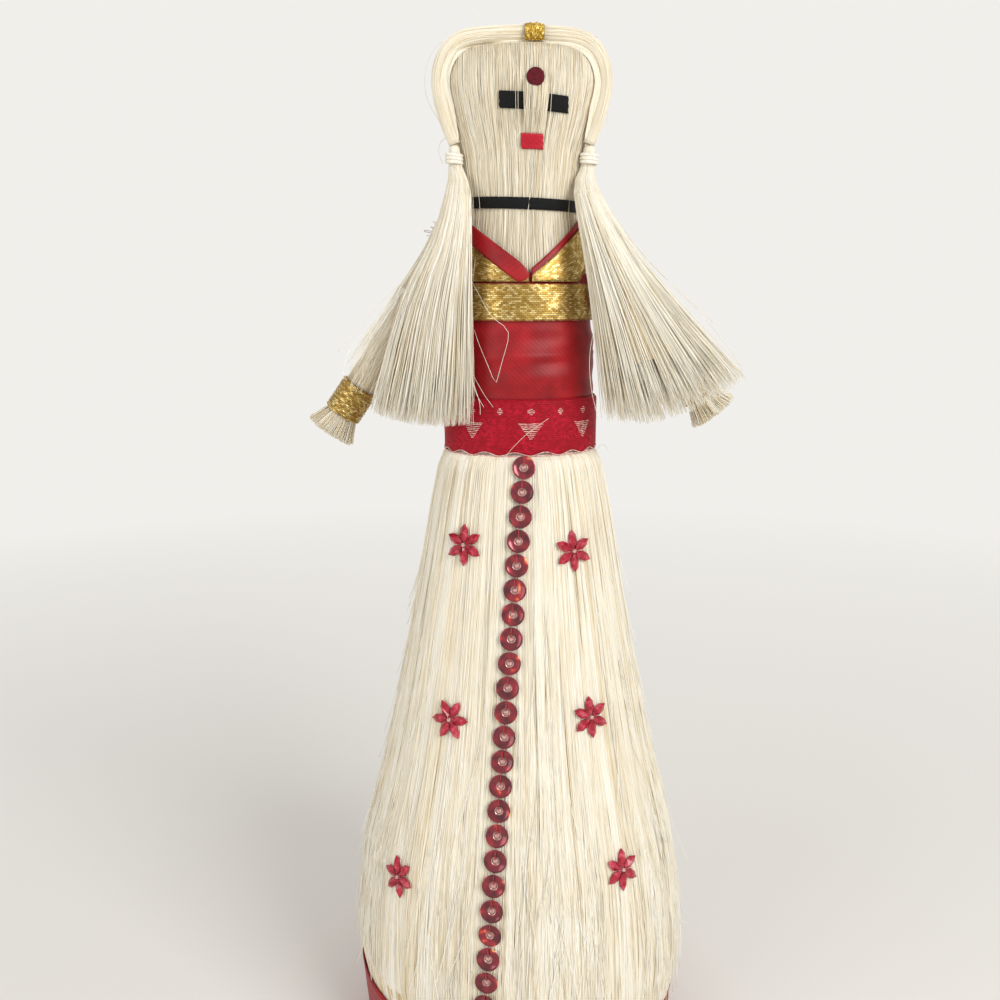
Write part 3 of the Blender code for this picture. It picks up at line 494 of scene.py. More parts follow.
def over_head(sides, low, steps):
    """Paths over the head from the chest to the back, each at a share of the half-width."""
    paths = []
    for share in sides:
        z = body[(body[:, 0] > low), 0]
        wide, deep = np.interp(z, body[:, 0], body[:, 1]), np.interp(z, body[:, 0], body[:, 2])
        x = np.where(z < WIDEST[0], share * wide, share * WIDEST[1])
        inside = abs(x) < wide
        x, z, wide, deep = x[inside], z[inside], wide[inside], deep[inside]
        y = -deep * np.sqrt(1 - (x / wide) ** 2)
        front = np.column_stack([x, y, z])
        paths.append(even_steps(np.vstack([front, front[::-1] * (1, -1, 1)]), steps))
    return np.array(paths)


def body_outward(points):
    """Roughly straight out of the head and body at these points."""
    centre = np.array([0, 0, 262 * MM])
    out = points * (1, 1.7, 0)
    out = out + np.where(points[..., 2:] > centre[2], (points - centre) * (0, 0, 1), 0)
    return out / np.linalg.norm(out, axis=-1, keepdims=True)


COUNT, STEPS = 1000, 48
turns = ((np.arange(COUNT) + rng.random(COUNT)) / COUNT * 2 - 1) * np.pi / 2
paths = over_head(np.sin(turns) * 0.995, 219 * MM, STEPS)
outward = body_outward(paths)
across = np.cross(outward, np.gradient(paths, axis=1))
across /= np.linalg.norm(across, axis=2, keepdims=True)
along = np.linspace(0, 1, STEPS)
slant = (rng.random((COUNT, 1)) < 0.35) * rng.normal(0, 3,
                                                     (COUNT, 1)) * (along - rng.uniform(0.1, 0.9,
                                                                                        (COUNT, 1)))
sway = slant + rng.uniform(0.05, 0.5, (COUNT, 1)) * waves(along, COUNT, 1, 3)
lift = 0.05 * abs(slant) + rng.uniform(-0.26, 0.06,
                                       (COUNT, 1)) + 0.1 * np.sin(9 * along
                                                                  + rng.uniform(0, 6.3, (COUNT, 1)))
# The nose is a lock of the same strands that passes over the eyes' ribbon
AT_EYES = 13
reach = paths[:, AT_EYES:AT_EYES + 1, 0] / MM - FACE_X
nose = (abs(reach + 0.1) < 2.55) | ((abs(reach + 3.6) < 0.9) & (rng.random((COUNT, 1)) < 0.12))
over_eyes = 1.5 * np.exp(-((paths[..., 2] / MM - EYE_Z) / 4.8) ** 4) * (paths[..., 1] < 0)
lift = lift + over_eyes * nose
# The hank swells a little just behind the hair roll, which presses on it
lift = lift + 1.5 * np.exp(-((paths[..., 1] / MM + 0.6) / 2.2) ** 2) * np.clip((paths[..., 2] / MM - 258)
                                                                               / 5, 0, 1)
paths = paths + across * sway[..., None] * MM + outward * lift[..., None] * MM
radii = rng.uniform(0.06, 0.105, (COUNT, 1)) * MM
shades = rng.normal(0.54, 0.16, COUNT)
half = STEPS // 2
add_strands("face_strands", paths[:, :half + 1], radii, outward[:, :half + 1], shades, fibre, "doll")
add_strands("nape_strands", paths[:, half:], radii, outward[:, half:], shades, fibre, "doll")

bodice_loop = ((-12, 223.4), (-11.8, 220.3), (-9.5, 215.3), (-6.9, 210.2), (-3.7, 207.4), (-2.9, 205.4),
               (-3.3, 203.1), (-4.7, 197.6),
               (-5.9, 193.2), (-7, 196), (-9.6, 202.9), (-10.7, 206.6))
add_flyaways("head_flyaways", [
    [(-16.5, 1, 276.5), (-20.4, 0, 278.1), (-24.1, -1, 272.4), (-24.4, -1, 265.4), (-21.4, -1, 259.3),
     (-18.6, -1, 255.9)],
    [(-17, 2, 257), (-20.7, 0, 253.9), (-21.3, 0, 251.4), (-20.3, 0, 248.5)],
    [(-9.5, -2, 277.5), (-11, -3, 280.7), (-11.5, -3, 283.1), (-10.5, -3, 284.4)],
    [(11, 1, 276.5), (15.3, -2, 279.6), (17.5, -3, 278.9), (19, -3, 278.7)],
    [(20.2, 2, 263), (22, 0, 261.4), (21.8, -1, 258), (19.8, -1, 255.9)],
    [(-6, 10, 274), (-8, 14, 274.5), (-11, 17.5, 270), (-12, 18, 264)],
    [(9, 12, 270), (11, 16, 270), (13, 18, 264), (12, 17, 258)],
    list(on_front(*np.array(bodice_loop).T, 2.3)),
    list(on_front((-12, -11.6, -9.1, -6.5), (206.7, 197.2, 191.2, 187.1), 2.2)),
    list(on_front((6.3, 1.9, -0.9, -4.2), (184.2, 180.8, 178, 173.8), 2.1)),
], fibre, "doll", 0.06)


# Bodice
# Red satin wrapped once round the chest and glued at the back, tucked under the waist band
# and the gold belt. It has one flat crease across and a few soft folds.
BODICE_LOW, BODICE_HIGH = 176, 220.8
around = all_round(200)
rows = []
for z in np.linspace(BODICE_LOW, BODICE_HIGH, 60):
    free = np.clip(min(z - 189.2, 207.5 - z) / 3, 0, 1)
    folds = 0.2 * np.sin(3 * around + 0.35 * z) + 0.14 * np.sin(0.9 * z - 2 * around)
    crease = 0.3 * np.exp(-((z - 199.6 - 0.5 * np.cos(around)) / 0.45) ** 2)
    rows.append(body_point(around, z * MM, (0.78 + free * (0.3 + folds + crease)) * MM))
for z in np.linspace(BODICE_HIGH, BODICE_LOW, 6):
    rows.append(body_point(around, z * MM, 0.34 * MM))
bodice = add_sheet("bodice_satin", np.array(rows), satin, "doll", ["bodice"], joined=True)


# Waist band
# Coarse crimson trim wound round the waist and glued. Rows of pale stitches make the plain
# traditional triangles and lozenges along it, and its lower edge is softly scalloped.


def weave_of(tree, spacing, colours, gap, blur, size):
    """A weave of threads at this spacing, as bricks in two colours with a third between them."""
    cloth = add(tree, "UVMap", uv_map="cloth")
    threads = add(tree, "VectorMath", {0: cloth.outputs[0], 1: (1 / spacing,) * 3}, operation="MULTIPLY")
    return add(tree, "TexBrick", {
        "Vector": threads.outputs[0], "Scale": 1, "Color1": colours[0], "Color2": colours[1],
        "Mortar": colours[2],
        "Mortar Size": gap, "Mortar Smooth": blur, "Brick Width": size[0], "Row Height": size[1]},
               offset=0.5)


# Coarse rayon trim: thick matt threads 0.5 mm apart that cross over and under, worn open in parts
trim, tree, shader = start_material("coarse_red_trim", "#A81026", 0.6, Specular_IOR_Level=0.2)
weave = weave_of(tree, 0.5 * MM, ("#CC1634", "#9A061C", "#4A040E"), gap=0.1, blur=0.9, size=(1.4, 1))
coords = add(tree, "TexCoord")
worn = add(tree, "TexNoise", {"Vector": coords.outputs["Object"], "Scale": 1 / (3.5 * MM), "Detail": 3})
reach = add(tree, "MapRange", {"Value": worn.outputs["Fac"], "From Min": 0.42, "From Max": 0.72})
tint = add(tree, "Mix", {0: reach.outputs[0], 6: weave.outputs["Color"], 7: "#96081A"}, data_type="RGBA")
tree.links.new(tint.outputs[2], shader.inputs["Base Color"])
add(tree, "Bump", {"Height": weave.outputs["Fac"], "Strength": 0.8, "Distance": 0.14 * MM},
    to=shader.inputs["Normal"], invert=True)


def scallop(angle):
    """The trim's lower edge in mm: sixteen shallow waves, a little higher at the right."""
    return 174.15 + 0.9 * np.sin(8 * angle - 0.9) ** 2 + 0.2 * (1 + np.cos(angle))


TRIM_TOP = 189
around = all_round(420)
low = scallop(around)
rows = []
for share in np.linspace(0, 1, 44):
    rib = 0.06 * np.sin(share * np.pi * 43) * np.cos(around * 210)
    roll_in = 0.6 * np.clip((share - 0.93) / 0.07, 0, 1) ** 2 + 0.25 * np.clip((0.04 - share) / 0.04, 0, 1)
    rows.append(body_point(around, (low + share * (TRIM_TOP - low)) * MM, (1.82 + rib - roll_in) * MM))
for share in np.linspace(1, 0, 4):
    rows.append(body_point(around, (low + share * (TRIM_TOP - low)) * MM, 1.14 * MM))
band = add_sheet("waist_trim", np.array(rows), trim, "doll", ["waist_band"], joined=True)

# Undyed cotton thread: pale, matt and a little uneven
thread, tree, shader = start_material("pale_thread", "#E4C9BC", 0.8, Sheen_Weight=0.3)
mottle(tree, shader, 0.7 * MM, ((0.38, "#C97F7C"), (0.6, "#EAD0C4")), detail=2)

stitches = []
for repeat in range(8):
    middle = -np.pi / 2 + 0.12 + repeat * np.pi / 4
    for row in range(9):
        stitches.append((middle, 182.8 - 0.48 * row, 3.3 * (1 - row / 9)))
    for row, wide in enumerate((0.35, 0.9, 0.9, 0.35)):
        stitches.append((middle, 186.6 - 0.45 * row, wide))
        stitches.append((middle + np.pi / 8, 186.6 - 0.45 * row, 0.8 * wide))
stitches = np.array(stitches)
span = np.linspace(-1, 1, 9)
angles = stitches[:, :1] + stitches[:, 2:] * span / 20.6
paths = body_point(angles, stitches[:, 1:2] * MM + 0.05 * MM * rng.normal(0, 1, angles.shape),
                   (1.9 - 0.1 * span ** 4) * MM)
outward = outward_at(angles, 0)
add_strands("waist_stitches", paths, 0.12 * MM, outward, 1, thread, "doll")
wave = np.linspace(0, 2 * np.pi, 400)[None]
outward = outward_at(wave, 0)
for name, height, out, radius in (
    ("waist_edge_thread", scallop(wave) + 0.12, 1.86, 0.13),
    ("waist_hem_cord", 174.05 + 0.3 * (1 + np.cos(wave)), 1.3, 0.24),
):
    paths = body_point(wave, height * MM, out * MM)
    add_strands(name, paths, radius * MM, outward, 1, thread, "doll")


# Gold belt and neckline ribbons
# Gold ribbon laid round under the bust, and four ribbons from the point of the neckline over
# the shoulders: at the left red lies over gold, at the right gold lies over red.

# Lame ribbon: flat gilt film strips woven over brown yarn. Its glints are painted: the bricks of the weave, and
# soft patches over them, are coloured from dark brown to pale gold as if some caught the light.
# The strips are 0.25 mm in the real one and are drawn twice as coarse, so that they show.
gilt, tree, shader = start_material("gilt_ribbon", "#B39A5C", 0.3, Metallic=0.8)
weave = weave_of(tree, 0.5 * MM, ("#A8A8A8", "#EAEAEA", "#2A2A2A"), gap=0.09, blur=0.5, size=(1.9, 0.95))
coords = add(tree, "TexCoord")
patches = add(tree, "TexNoise", {"Vector": coords.outputs["Object"], "Scale": 1 / (1.2 * MM), "Detail": 3})
# Painted glints: brick colours mixed with soft patches, which also set the roughness
painted_glint = add(tree, "Mix", {0: 0.08, 6: weave.outputs["Color"], 7: patches.outputs["Color"]},
            data_type="RGBA")
add(tree, "ValToRGB", {0: painted_glint.outputs[2]}, to=shader.inputs["Base Color"], stops=(
    (0.06, "#3E2C10"), (0.35, "#8E6E30"), (0.6, "#B8964C"), (0.85, "#EAD69A")))
rough = add(tree, "MapRange", {"Value": painted_glint.outputs[2], "To Min": 0.5, "To Max": 0.24})
tree.links.new(rough.outputs[0], shader.inputs["Roughness"])
relief = add(tree, "Math", {0: weave.outputs["Fac"], 1: -1}, operation="MULTIPLY")
add(tree, "Bump", {"Height": relief.outputs[0], "Strength": 0.55, "Distance": 0.1 * MM},
    to=shader.inputs["Normal"])

BELT_LOW, BELT_HIGH = 208.8, 218.3
around = all_round(300)
rows = []
for z in np.linspace(BELT_LOW, BELT_HIGH, 24):
    dents = 0.05 * np.sin(9 * around + z / 2) + 0.03 * np.sin(17 * around - z)
    rows.append(body_point(around, z * MM, (1.5 + dents) * MM))
for z in np.linspace(BELT_HIGH, BELT_LOW, 3):
    rows.append(body_point(around, z * MM, 1.14 * MM))
add_sheet("belt_gilt_ribbon", np.array(rows), gilt, "doll", ["gold_belt"], joined=True)
wave = np.linspace(0, 2 * np.pi, 300)
paths = np.array([body_point(wave, (z + 0.06 * np.sin(60 * wave)) * MM, 1.56 * MM)
                  for z in (BELT_LOW + 0.2, BELT_HIGH - 0.2)])
outward = outward_at(wave, 0)
add_strands("belt_edge_threads", paths, 0.1 * MM, outward, 1, satin, "doll")


def add_strap(name, side, drop, width, out, round_tip, material, node):
    """A ribbon from the neckline's point over a shoulder to the middle of the back."""
    chest = np.interp(BELT_HIGH * MM, body[:, 0], body[:, 1]) / MM
    start = -np.pi / 2 + math.asin((2 + side * 0.3) / chest)
    end = -np.pi / 2 + side * (np.pi - 0.02)
    rise = 13.3
    rows = []
    for t in np.linspace(0, 1, 110):
        slope = 2 * rise * math.cos(math.pi * t) / (chest * 1.76)
        stretch = math.hypot(1, slope)
        upper = 221.9 + rise * math.sin(math.pi * t) - drop * stretch
        lower = max(upper - width * stretch, 218.6)
        if t < round_tip:
            curve = math.sqrt(1 - (1 - t / round_tip) ** 2)
            middle = (upper + lower) / 2
            upper, lower = (middle + (edge - middle) * max(curve, 0.15) for edge in (upper, lower))
        z = np.concatenate([np.linspace(lower, upper, 9), np.linspace(upper, lower, 5)])
        cup = 0.05 * np.sin(np.linspace(0, np.pi, 9)) + 0.04 * np.sin(40 * t + np.linspace(0, 3, 9))
        away = np.concatenate([out + 0.36 + cup, np.full(5, out + 0.03)])
        rows.append(body_point(start + (end - start) * t, z * MM, away * MM))
    return add_sheet(name, np.array(rows), material, "doll", [node], turned=True)


add_strap("left_gilt_strap", -1, 1.8, 9.5, 1.1, 0, gilt, "gold_strap_left")
add_strap("left_red_strap", -1, 0, 4.0, 1.8, 0.05, satin, "red_strap_left")
add_strap("right_red_strap", 1, 0, 4.0, 1.1, 0, satin, "red_strap_right")
add_strap("right_gilt_strap", 1, 1.2, 9.5, 1.8, 0, gilt, "gold_strap_right")

frays = []
for k in range(12):
    tip = np.array((-23.6, -1.5, 231)) + rng.normal(0, 1, 3) * (1.1, 1, 1.3)
    half_way = np.array((-20.2, -1, 230.6)) + rng.normal(0, 0.6, 3)
    frays.append([(-16.6 + 0.2 * k / 12, -1 + k / 6, 230.4 + 0.12 * k), half_way, tip])
add_flyaways("strap_frays", frays, satin, "doll", 0.07)


# Neck ribbon, eyes and mouth
# Narrow black ribbon tied round the neck, a slightly fuzzy piece of a wider black one for the
# eyes, held by the nose lock, and a short red one for the mouth, all glued to the fibre.

# Woven black tape: dull yarn with a fine rib along it and hardly any sheen
tape, tree, shader = start_material("black_tape", "#0A0A0B", 0.7, Sheen_Weight=0.03, Specular_IOR_Level=0.2)
weave = weave_of(tree, 0.3 * MM, ("#121213", "#070708", "#020202"), gap=0.15, blur=1, size=(2, 1))
tree.links.new(weave.outputs["Color"], shader.inputs["Base Color"])
add(tree, "Bump", {"Height": weave.outputs["Fac"], "Strength": 0.6, "Distance": 0.06 * MM},
    to=shader.inputs["Normal"], invert=True)

around = all_round(200)
middle = 237.9 - 0.5 * np.cos(around)
rows = []
for step, away in ((-1.45, 0.5), (-1.4, 0.66), (-0.7, 0.72), (0, 0.74), (0.7, 0.72), (1.4, 0.66),
                   (1.45, 0.5), (1.2, 0.32), (-1.2, 0.32)):
    frayed = 0.04 * np.sin(71 * around + 9 * step) * (abs(step) > 1.3)
    rows.append(body_point(around, (middle + step + frayed) * MM, away * MM))
add_sheet("neck_tape", np.array(rows), tape, "doll", ["necklace_ribbon"], joined=True)


def add_patch(name, x_middle, z_middle, length, width, tilt, material, node):
    """A short ribbon glued on the front of the face, with slightly frayed cut ends."""
    rows = []
    for x in np.linspace(-length / 2, length / 2, 40):
        rise = np.concatenate([np.linspace(-1, 1, 9), np.linspace(1, -1, 5)])
        x_here = x_middle + x + 0.12 * np.sin(17 * rise) * (abs(x) > length / 2 - 0.05)
        z = z_middle + rise * width / 2 - tilt * x + 0.03 * math.sin(7 * x)
        away = np.concatenate([0.62 + 0.07 * np.cos(np.linspace(-1, 1, 9) * 1.5), np.full(5, 0.3)])
        rows.append(on_front(x_here, z, away) * MM)
    return add_sheet(name, np.array(rows), material, "doll", [node], turned=True)


add_patch("eye_tape", 2.7, EYE_Z, 16.4, 3.9, 0.06, tape, "eye_ribbon")


def recoloured(material, name, colours):
    """A copy of a material in other colours, from dark to light."""
    other = material.copy()
    other.name = name
    ramp = next(node for node in other.node_tree.nodes if node.bl_idname == "ShaderNodeValToRGB")
    for element, colour in zip(ramp.color_ramp.elements, colours):
        element.color = linear(colour)
    return other


# The mouth is cut from a brighter, closer ribbon than the bodice
lip = recoloured(satin, "bright_red_satin", ("#9E0A1C", "#B21428", "#C52C3A"))
add_patch("mouth_satin", 2.35, 252.5, 5.2, 3.6, 0.02, lip, "mouth_ribbon")


# Forehead spot
# A disc of maroon felt punched out and glued between the brows, with a softly rounded edge.


def seat_of(name):
    """Where a flat solid on the front sits: its back's middle, then across, up and outward."""
    points = np.array([v.co for v in nodes[name].data.vertices])
    middle = (points.max(0) + points.min(0)) / 2
    out = np.linalg.svd(points - points.mean(0))[2][2]
    out *= -np.sign(out[1])
    side = np.cross((0, 0, 1), out)
    side /= np.linalg.norm(side)
    back = ((points - middle) @ out).min()
    return middle + back * out, np.array([side, np.cross(out, side), out])


# Wool felt: a dense matt nap without any shine
felt, tree, shader = start_material("maroon_felt", "#58161F", 0.95, Sheen_Weight=0.1,
                                    Specular_IOR_Level=0.2)
nap = mottle(tree, shader, 0.35 * MM, ((0.3, "#420E18"), (0.7, "#6C1F28")), detail=5)
add(tree, "Bump", {"Height": nap.outputs["Fac"], "Strength": 0.8, "Distance": 0.1 * MM},
    to=shader.inputs["Normal"])

origin, axes = seat_of("forehead_spot")
around = all_round(48)
rows = []
for radius, height in ((2.1, 0), (2.22, 0.2), (2.22, 0.5), (2.08, 0.72), (1.7, 0.8), (1.1, 0.83),
                       (0.5, 0.84)):
    ragged = radius * (1 + 0.012 * np.sin(11 * around + 3 * height))
    flat = ring(ragged, around, height)
    rows.append(origin + flat * MM @ axes)
add_sheet("felt_spot", np.array(rows), felt, "doll", ["forehead_spot"])


# Hair roll
# A sleek roll of fibre laid over the head from ear to ear, in front of the crown, and
# stitched down. Its strands run along it, and a thin dark line parts it from the face.
ear = {joint["name"].split("_")[0]: np.array(joint["pos_m"])
       for joint in frame["joints"] if "tail" in joint["name"]}
z = body[body[:, 0] > ear["right"][2], 0]
wide, deep = np.interp(z, body[:, 0], body[:, 1]), np.interp(z, body[:, 0], body[:, 2])
inside = deep > 5.1 * MM
line = np.column_stack([wide[inside] * np.sqrt(1 - (5 * MM / deep[inside]) ** 2), z[inside]])
line = np.vstack([line, [0, body[-1, 0]]])
run = np.gradient(line, axis=0)
run[-1] = (-1, 0)
run /= np.linalg.norm(run, axis=1)[:, None]
line = line + 1.9 * MM * np.column_stack([run[:, 1], -run[:, 0]])
foot = ear["right"][2] + 1.15 * MM
half = np.vstack([[np.interp(foot, line[:, 1], line[:, 0]), foot], line[line[:, 1] > foot + 1.6 * MM]])
line = np.vstack([half * (-1, 1), half[-2::-1]])
roll = even_steps(np.column_stack([line[:, 0], np.full(len(line), -5 * MM), line[:, 1]]), 80)
run = np.gradient(roll, axis=0)
run /= np.linalg.norm(run, axis=1)[:, None]
forth = np.tile((0, -1.0, 0), (80, 1))
up = np.cross(forth, run)
gather = np.clip(np.minimum(np.arange(80), np.arange(80)[::-1]) / 8, 0, 1)[:, None] ** 0.6


def roll_point(turn, radius):
    """Points round the roll, which is fuller outward than towards the head, radius in mm."""
    full = gather * (0.3 + 0.7 * np.clip(up[:, 2:], 0, 1))
    high = up * (np.sin(turn)[:, None] * (1 + 0.4 * full) + 0.42 * full)
    return roll + (forth * np.cos(turn)[:, None] * (1 + 0.15 * gather) + high) * radius * MM * (0.95
                                                                                                + 0.05 * gather)


rings = np.array([roll_point(np.full(80, turn), 1.42) for turn in all_round(24)])
add_sheet("hair_roll_core", rings.transpose(1, 0, 2), packed, "doll", ["hair_band"])
COUNT = 250
along = np.linspace(0, 1, 80)
paths = []
for turn in (np.arange(COUNT) + rng.random(COUNT)) / COUNT * 2 * np.pi:
    twist = turn + 0.5 * along * rng.normal(0, 1) + 0.06 * np.sin(20 * along + turn)
    paths.append(roll_point(twist, rng.uniform(1.38, 1.52)))
# Strands of the face that cling to the roll fill the crease, but for a dark gap at the upper left
gap = 1.3 * np.exp(-((roll[:, :1] / MM + 11) / 5) ** 4) * (roll[:, 2:] > 272 * MM)
for share in np.linspace(0, 1, 60) ** 0.8:
    forward = 0.9 + 1.3 * share - gap + 0.08 * np.sin(30 * along[:, None] + 9 * share)
    paths.append(roll + (forth * forward - up * (0.8 + 1.9 * share)) * (0.35 + 0.65 * gather) * MM)
paths = np.array(paths)
COUNT = len(paths)
radii = rng.uniform(0.06, 0.1, (COUNT, 1)) * MM
add_strands("hair_roll_strands", paths, radii, paths - roll, rng.normal(0.6, 0.14, COUNT), fibre, "doll")


# Gold knot on the roll
# A scrap of gilt ribbon crumpled and tied astride the roll, with its folds pinched together.
# The copy keeps the gilt's painted glints in its bricks, in brighter golds
crumpled = recoloured(gilt, "crumpled_gilt", ("#6E4E12", "#B49236", "#E0BE58", "#FBEAA0"))
top = np.interp(FACE_X * MM, roll[:, 0], roll[:, 2])
angles = np.radians(np.linspace(-30, 210, 40))
rows = []
for u in np.linspace(-1, 1, 25):
    crest = np.clip(np.cos(angles - math.radians(30)), 0, 1) ** 2
    fold = 0.35 * np.sin(9 * u + 2 * np.sin(3 * angles)) * np.sin(7 * angles + 2
                                                                  * u) + 0.2 * rng.normal(0, 1, len(angles))
    outer = 1.9 + 0.45 + 1.3 * crest * (1 - 0.35 * u * u) + 0.45 * fold * (0.4 + crest)
    outer = np.maximum(outer, 2.1)
    x = FACE_X + 2.4 * u + 0.12 * np.sin(9 * angles)
    radius = np.concatenate([outer, np.full(12, 1.95)])
    turn = np.concatenate([angles, np.linspace(angles[-1], angles[0], 12)])
    x = np.concatenate([x, np.full(12, FACE_X + 2.35 * u)]) * MM
    rows.append(np.column_stack([x, -5 * MM - radius * MM * np.cos(turn),
                                 top + radius * MM * np.sin(turn)]))
knot = add_sheet("gilt_knot", np.array(rows), crumpled, "doll", ["hair_ornament"])
knot.data.shade_flat()


# Tails of hair
# Each end of the roll hangs from the ear as a tail: bound at the ear, then fanning out and
# forward, and cut across unevenly at the bottom. A few strands stand away from it.
# Side and length, how far the cut end reaches inward and outward, its tilt and sag, all in mm. Then for
# stations down the tail the shares of its drop, inner edge, outer edge, forward bow and thickness.
TAILS = {
    "left": (-1, 66, (-4.6, 20.9), 3.0, 2, (
        (0.16, 0.90, 0.03, 0.50, 0.25), (0.36, 1.00, 0.22, 0.90, 0.60), (0.60, 1.00, 0.61, 1.00, 0.82),
        (1, 1, 1, 1, 1))),
    "right": (1, 64.5, (3.9, 38), 10, 5.5, (
        (0.16, -0.55, 0.02, 0.50, 0.25), (0.36, -0.2, 0.19, 0.90, 0.60), (0.60, 0.32, 0.465, 1.00, 0.82),
        (1, 1, 1, 1, 1))),
}
COUNT = 1650
steps = np.array([0, 0.012, 0.03, 0.08, 0.15, 0.23, 0.32, 0.42, 0.52, 0.63, 0.74, 0.84, 0.93, 1])
for side, (sign, length, (reach_in, reach_out), tilt, sag, shares) in TAILS.items():
    stations = [[(-sign * lean, 0, z), (sign * (r + lean), 0, 0), (0, r, 0)] for z, r,
                lean in ((0.9, 0.75, 0), (0.3, 1.25, 0), (-5.2, 1.4, 0.4))]
    for drop, inward, outward, forward, thick in shares:
        inner = np.array((sign * (-1.3 + (reach_in + 1.3) * inward), -11 * forward, -length * drop))
        outer = np.array((sign * (1.3 + (reach_out - 1.3) * outward), -11 * forward,
                          -length * drop + tilt * outward))
        stations.append([(inner + outer) / 2, (outer - inner) / 2, (0, 1.3 + 4.7 * thick, 0)])
    curve = smooth(stations, 6)
    share = np.concatenate([[0], np.linalg.norm(np.diff(curve[:, 0], axis=0), axis=1).cumsum()])
    curve = np.vstack([curve, [curve[-1] * 2 - curve[-3]]])
    share = np.append(share, 2 * share[-1] - share[-3]) / share[-1]
    radius, turn = rng.random(COUNT) ** 0.4, rng.uniform(0, 2 * np.pi, COUNT)
    p, q = radius * np.cos(turn), radius * np.sin(turn)
    ends = 1.04 - 0.13 * rng.random(COUNT) ** 1.7
    wide = 1 + 0.05 * rng.normal(0, 1, (COUNT, 1)) * steps ** 2 * (1 + 3 * (rng.random((COUNT, 1)) < 0.03))
    places = steps * ends[:, None]
    mid, wid, dep = (np.stack([np.interp(places, share, curve[:, part, k]) for k in range(3)], -1)
                     for part in range(3))
    paths = mid + wid * (p[:, None] * wide)[..., None] + dep * (q[:, None] * wide)[..., None]
    paths[..., 0] += 0.25 * waves(steps, COUNT, 0.6, 1.6) * steps
    paths[..., 2] -= sag * (1 - radius[:, None] ** 2) * steps ** 6
    radii = rng.uniform(0.085, 0.14, (COUNT, 1)) * (1 - 0.35 * steps ** 4) * MM
    tones = rng.normal(0.7, 0.16, COUNT) + 0.05 * np.sin(9 * p + 2 * q)
    add_strands(f"{side}_tail_strands", ear[side] + paths * MM, radii, (0, -1.0, 0.2), tones, fibre,
                f"{side}_tail", [f"pigtail_{side}"])
    around = all_round(40)[:, None]
    rings = [mid + fill * (wid * np.cos(around) + dep * np.sin(around))
             for (mid, wid, dep), fill in zip(curve[16:-3:2], (0.3, 0.75) + (0.84,) * 20)]
    add_sheet(f"{side}_tail_core", ear[side] + np.array(rings) * MM, packed, f"{side}_tail")
add_flyaways("left_tail_flyaways", [
    [(-20, -12, 236), (-24.3, -13, 226.4), (-26.9, -13, 221.2), (-31, -13, 217.8), (-38, -13, 211.1),
     (-47.1, -13, 201)],
    [(-20.5, -13, 234), (-24.9, -14, 224.4), (-27.5, -14, 218.8), (-33.4, -14, 212.8),
     (-39.2, -13, 205.8), (-44.9, -13, 200.2)],
    [(-25, -14, 221), (-31.1, -14, 212.9), (-36, -13, 209.6), (-41.8, -13, 204.3), (-45, -13, 199.5),
     (-45.8, -13, 194.3)],
    [(-15, -15, 205), (-13, -17, 196), (-10.8, -18, 189), (-10.5, -18, 185.5)],
    [(-16, -16, 208), (-13.4, -18, 199), (-11.9, -19, 192), (-9.6, -19, 187.5)],
] + [
    [(-19.5 - u, -11 + v, 236 - u), (-23.5 - 1.2 * u, -12 + v, 226), (-28 - 2.6 * u, -13 + v, 216.5),
     (-34 - 3.4 * u, -13 + v, 207 - 2 * v),
     (-38.5 - 4.2 * u, -12 + v, 199 - 4 * v)]
    for u, v in zip(rng.uniform(0.1, 1.5, 46), rng.uniform(-1.2, 2.6, 46))
], fibre, "left_tail", 0.065)
add_flyaways("right_tail_flyaways", [
    [(22, -13, 236), (31, -14, 224.5), (40, -14, 216), (48.5, -14, 208.5)],
    [(20, -16, 214), (17.2, -18, 202), (17.4, -19, 193), (19, -19, 186)],
    [(24, -14, 232), (36, -15, 219.5), (47, -14, 209), (56, -13, 198), (57, -12, 195)],
], fibre, "right_tail", 0.065)


# Ear ties
# Soft white cotton cord wound three times round each tail at the ear, its two ends tucked in.

# Cotton cord: matt, two plies twisted together
cotton, tree, shader = start_material("cotton_cord", "#F2ECDD", 0.8, Sheen_Weight=0.3)
plies = mottle(tree, shader, 0.4 * MM, ((0.3, "#DDD3BD"), (0.6, "#FAF6EC")), detail=3)
add(tree, "Bump", {"Height": plies.outputs["Fac"], "Strength": 0.6, "Distance": 0.08 * MM},
    to=shader.inputs["Normal"])

t = np.linspace(0, 3.1, 180)
angle = 2 * np.pi * t + 0.6
tuck = 1.95 - 0.35 * np.clip(np.maximum(0.12 - t, t - 2.98) / 0.12, 0, 1)
line = np.column_stack([tuck * np.cos(angle), tuck * np.sin(angle), -1.0 - 0.86 * t])
run = np.gradient(line, axis=0)
run /= np.linalg.norm(run, axis=1)[:, None]
out = line * (1, 1, 0) / tuck[:, None]
up = np.cross(run, out)
rings = []
for k in all_round(14):
    ply = 0.47 * (1 - 0.12 * np.abs(np.sin(k + 8 * angle)))
    rings.append(line + (np.cos(k) * out + np.sin(k) * up) * ply[:, None])
for side in ("left", "right"):
    grid = ear[side] + np.array(rings).transpose(1, 0, 2) * MM
    add_sheet(f"{side}_tie_cord", grid, cotton, f"{side}_tail", [f"ear_tie_{side}"])


# Arms, sleeves and cuffs
# Each arm is a bundle of fibre bound at the shoulder by a red ribbon and at the wrist by a
# gilt one. Beyond the wrist the ends open into a flat fan, cut straight, for the hand.
shoulder_at = {joint["name"].split("_")[0]: np.array(joint["pos_m"])
               for joint in frame["joints"] if "shoulder" in joint["name"]}
ARM_RADIUS, HAND, HAND_WIDE, HAND_DEEP = 4.25, 5.8, 7, 5.1
SLEEVE_AT, SLEEVE, CUFF = 2.8, 4.5, 9
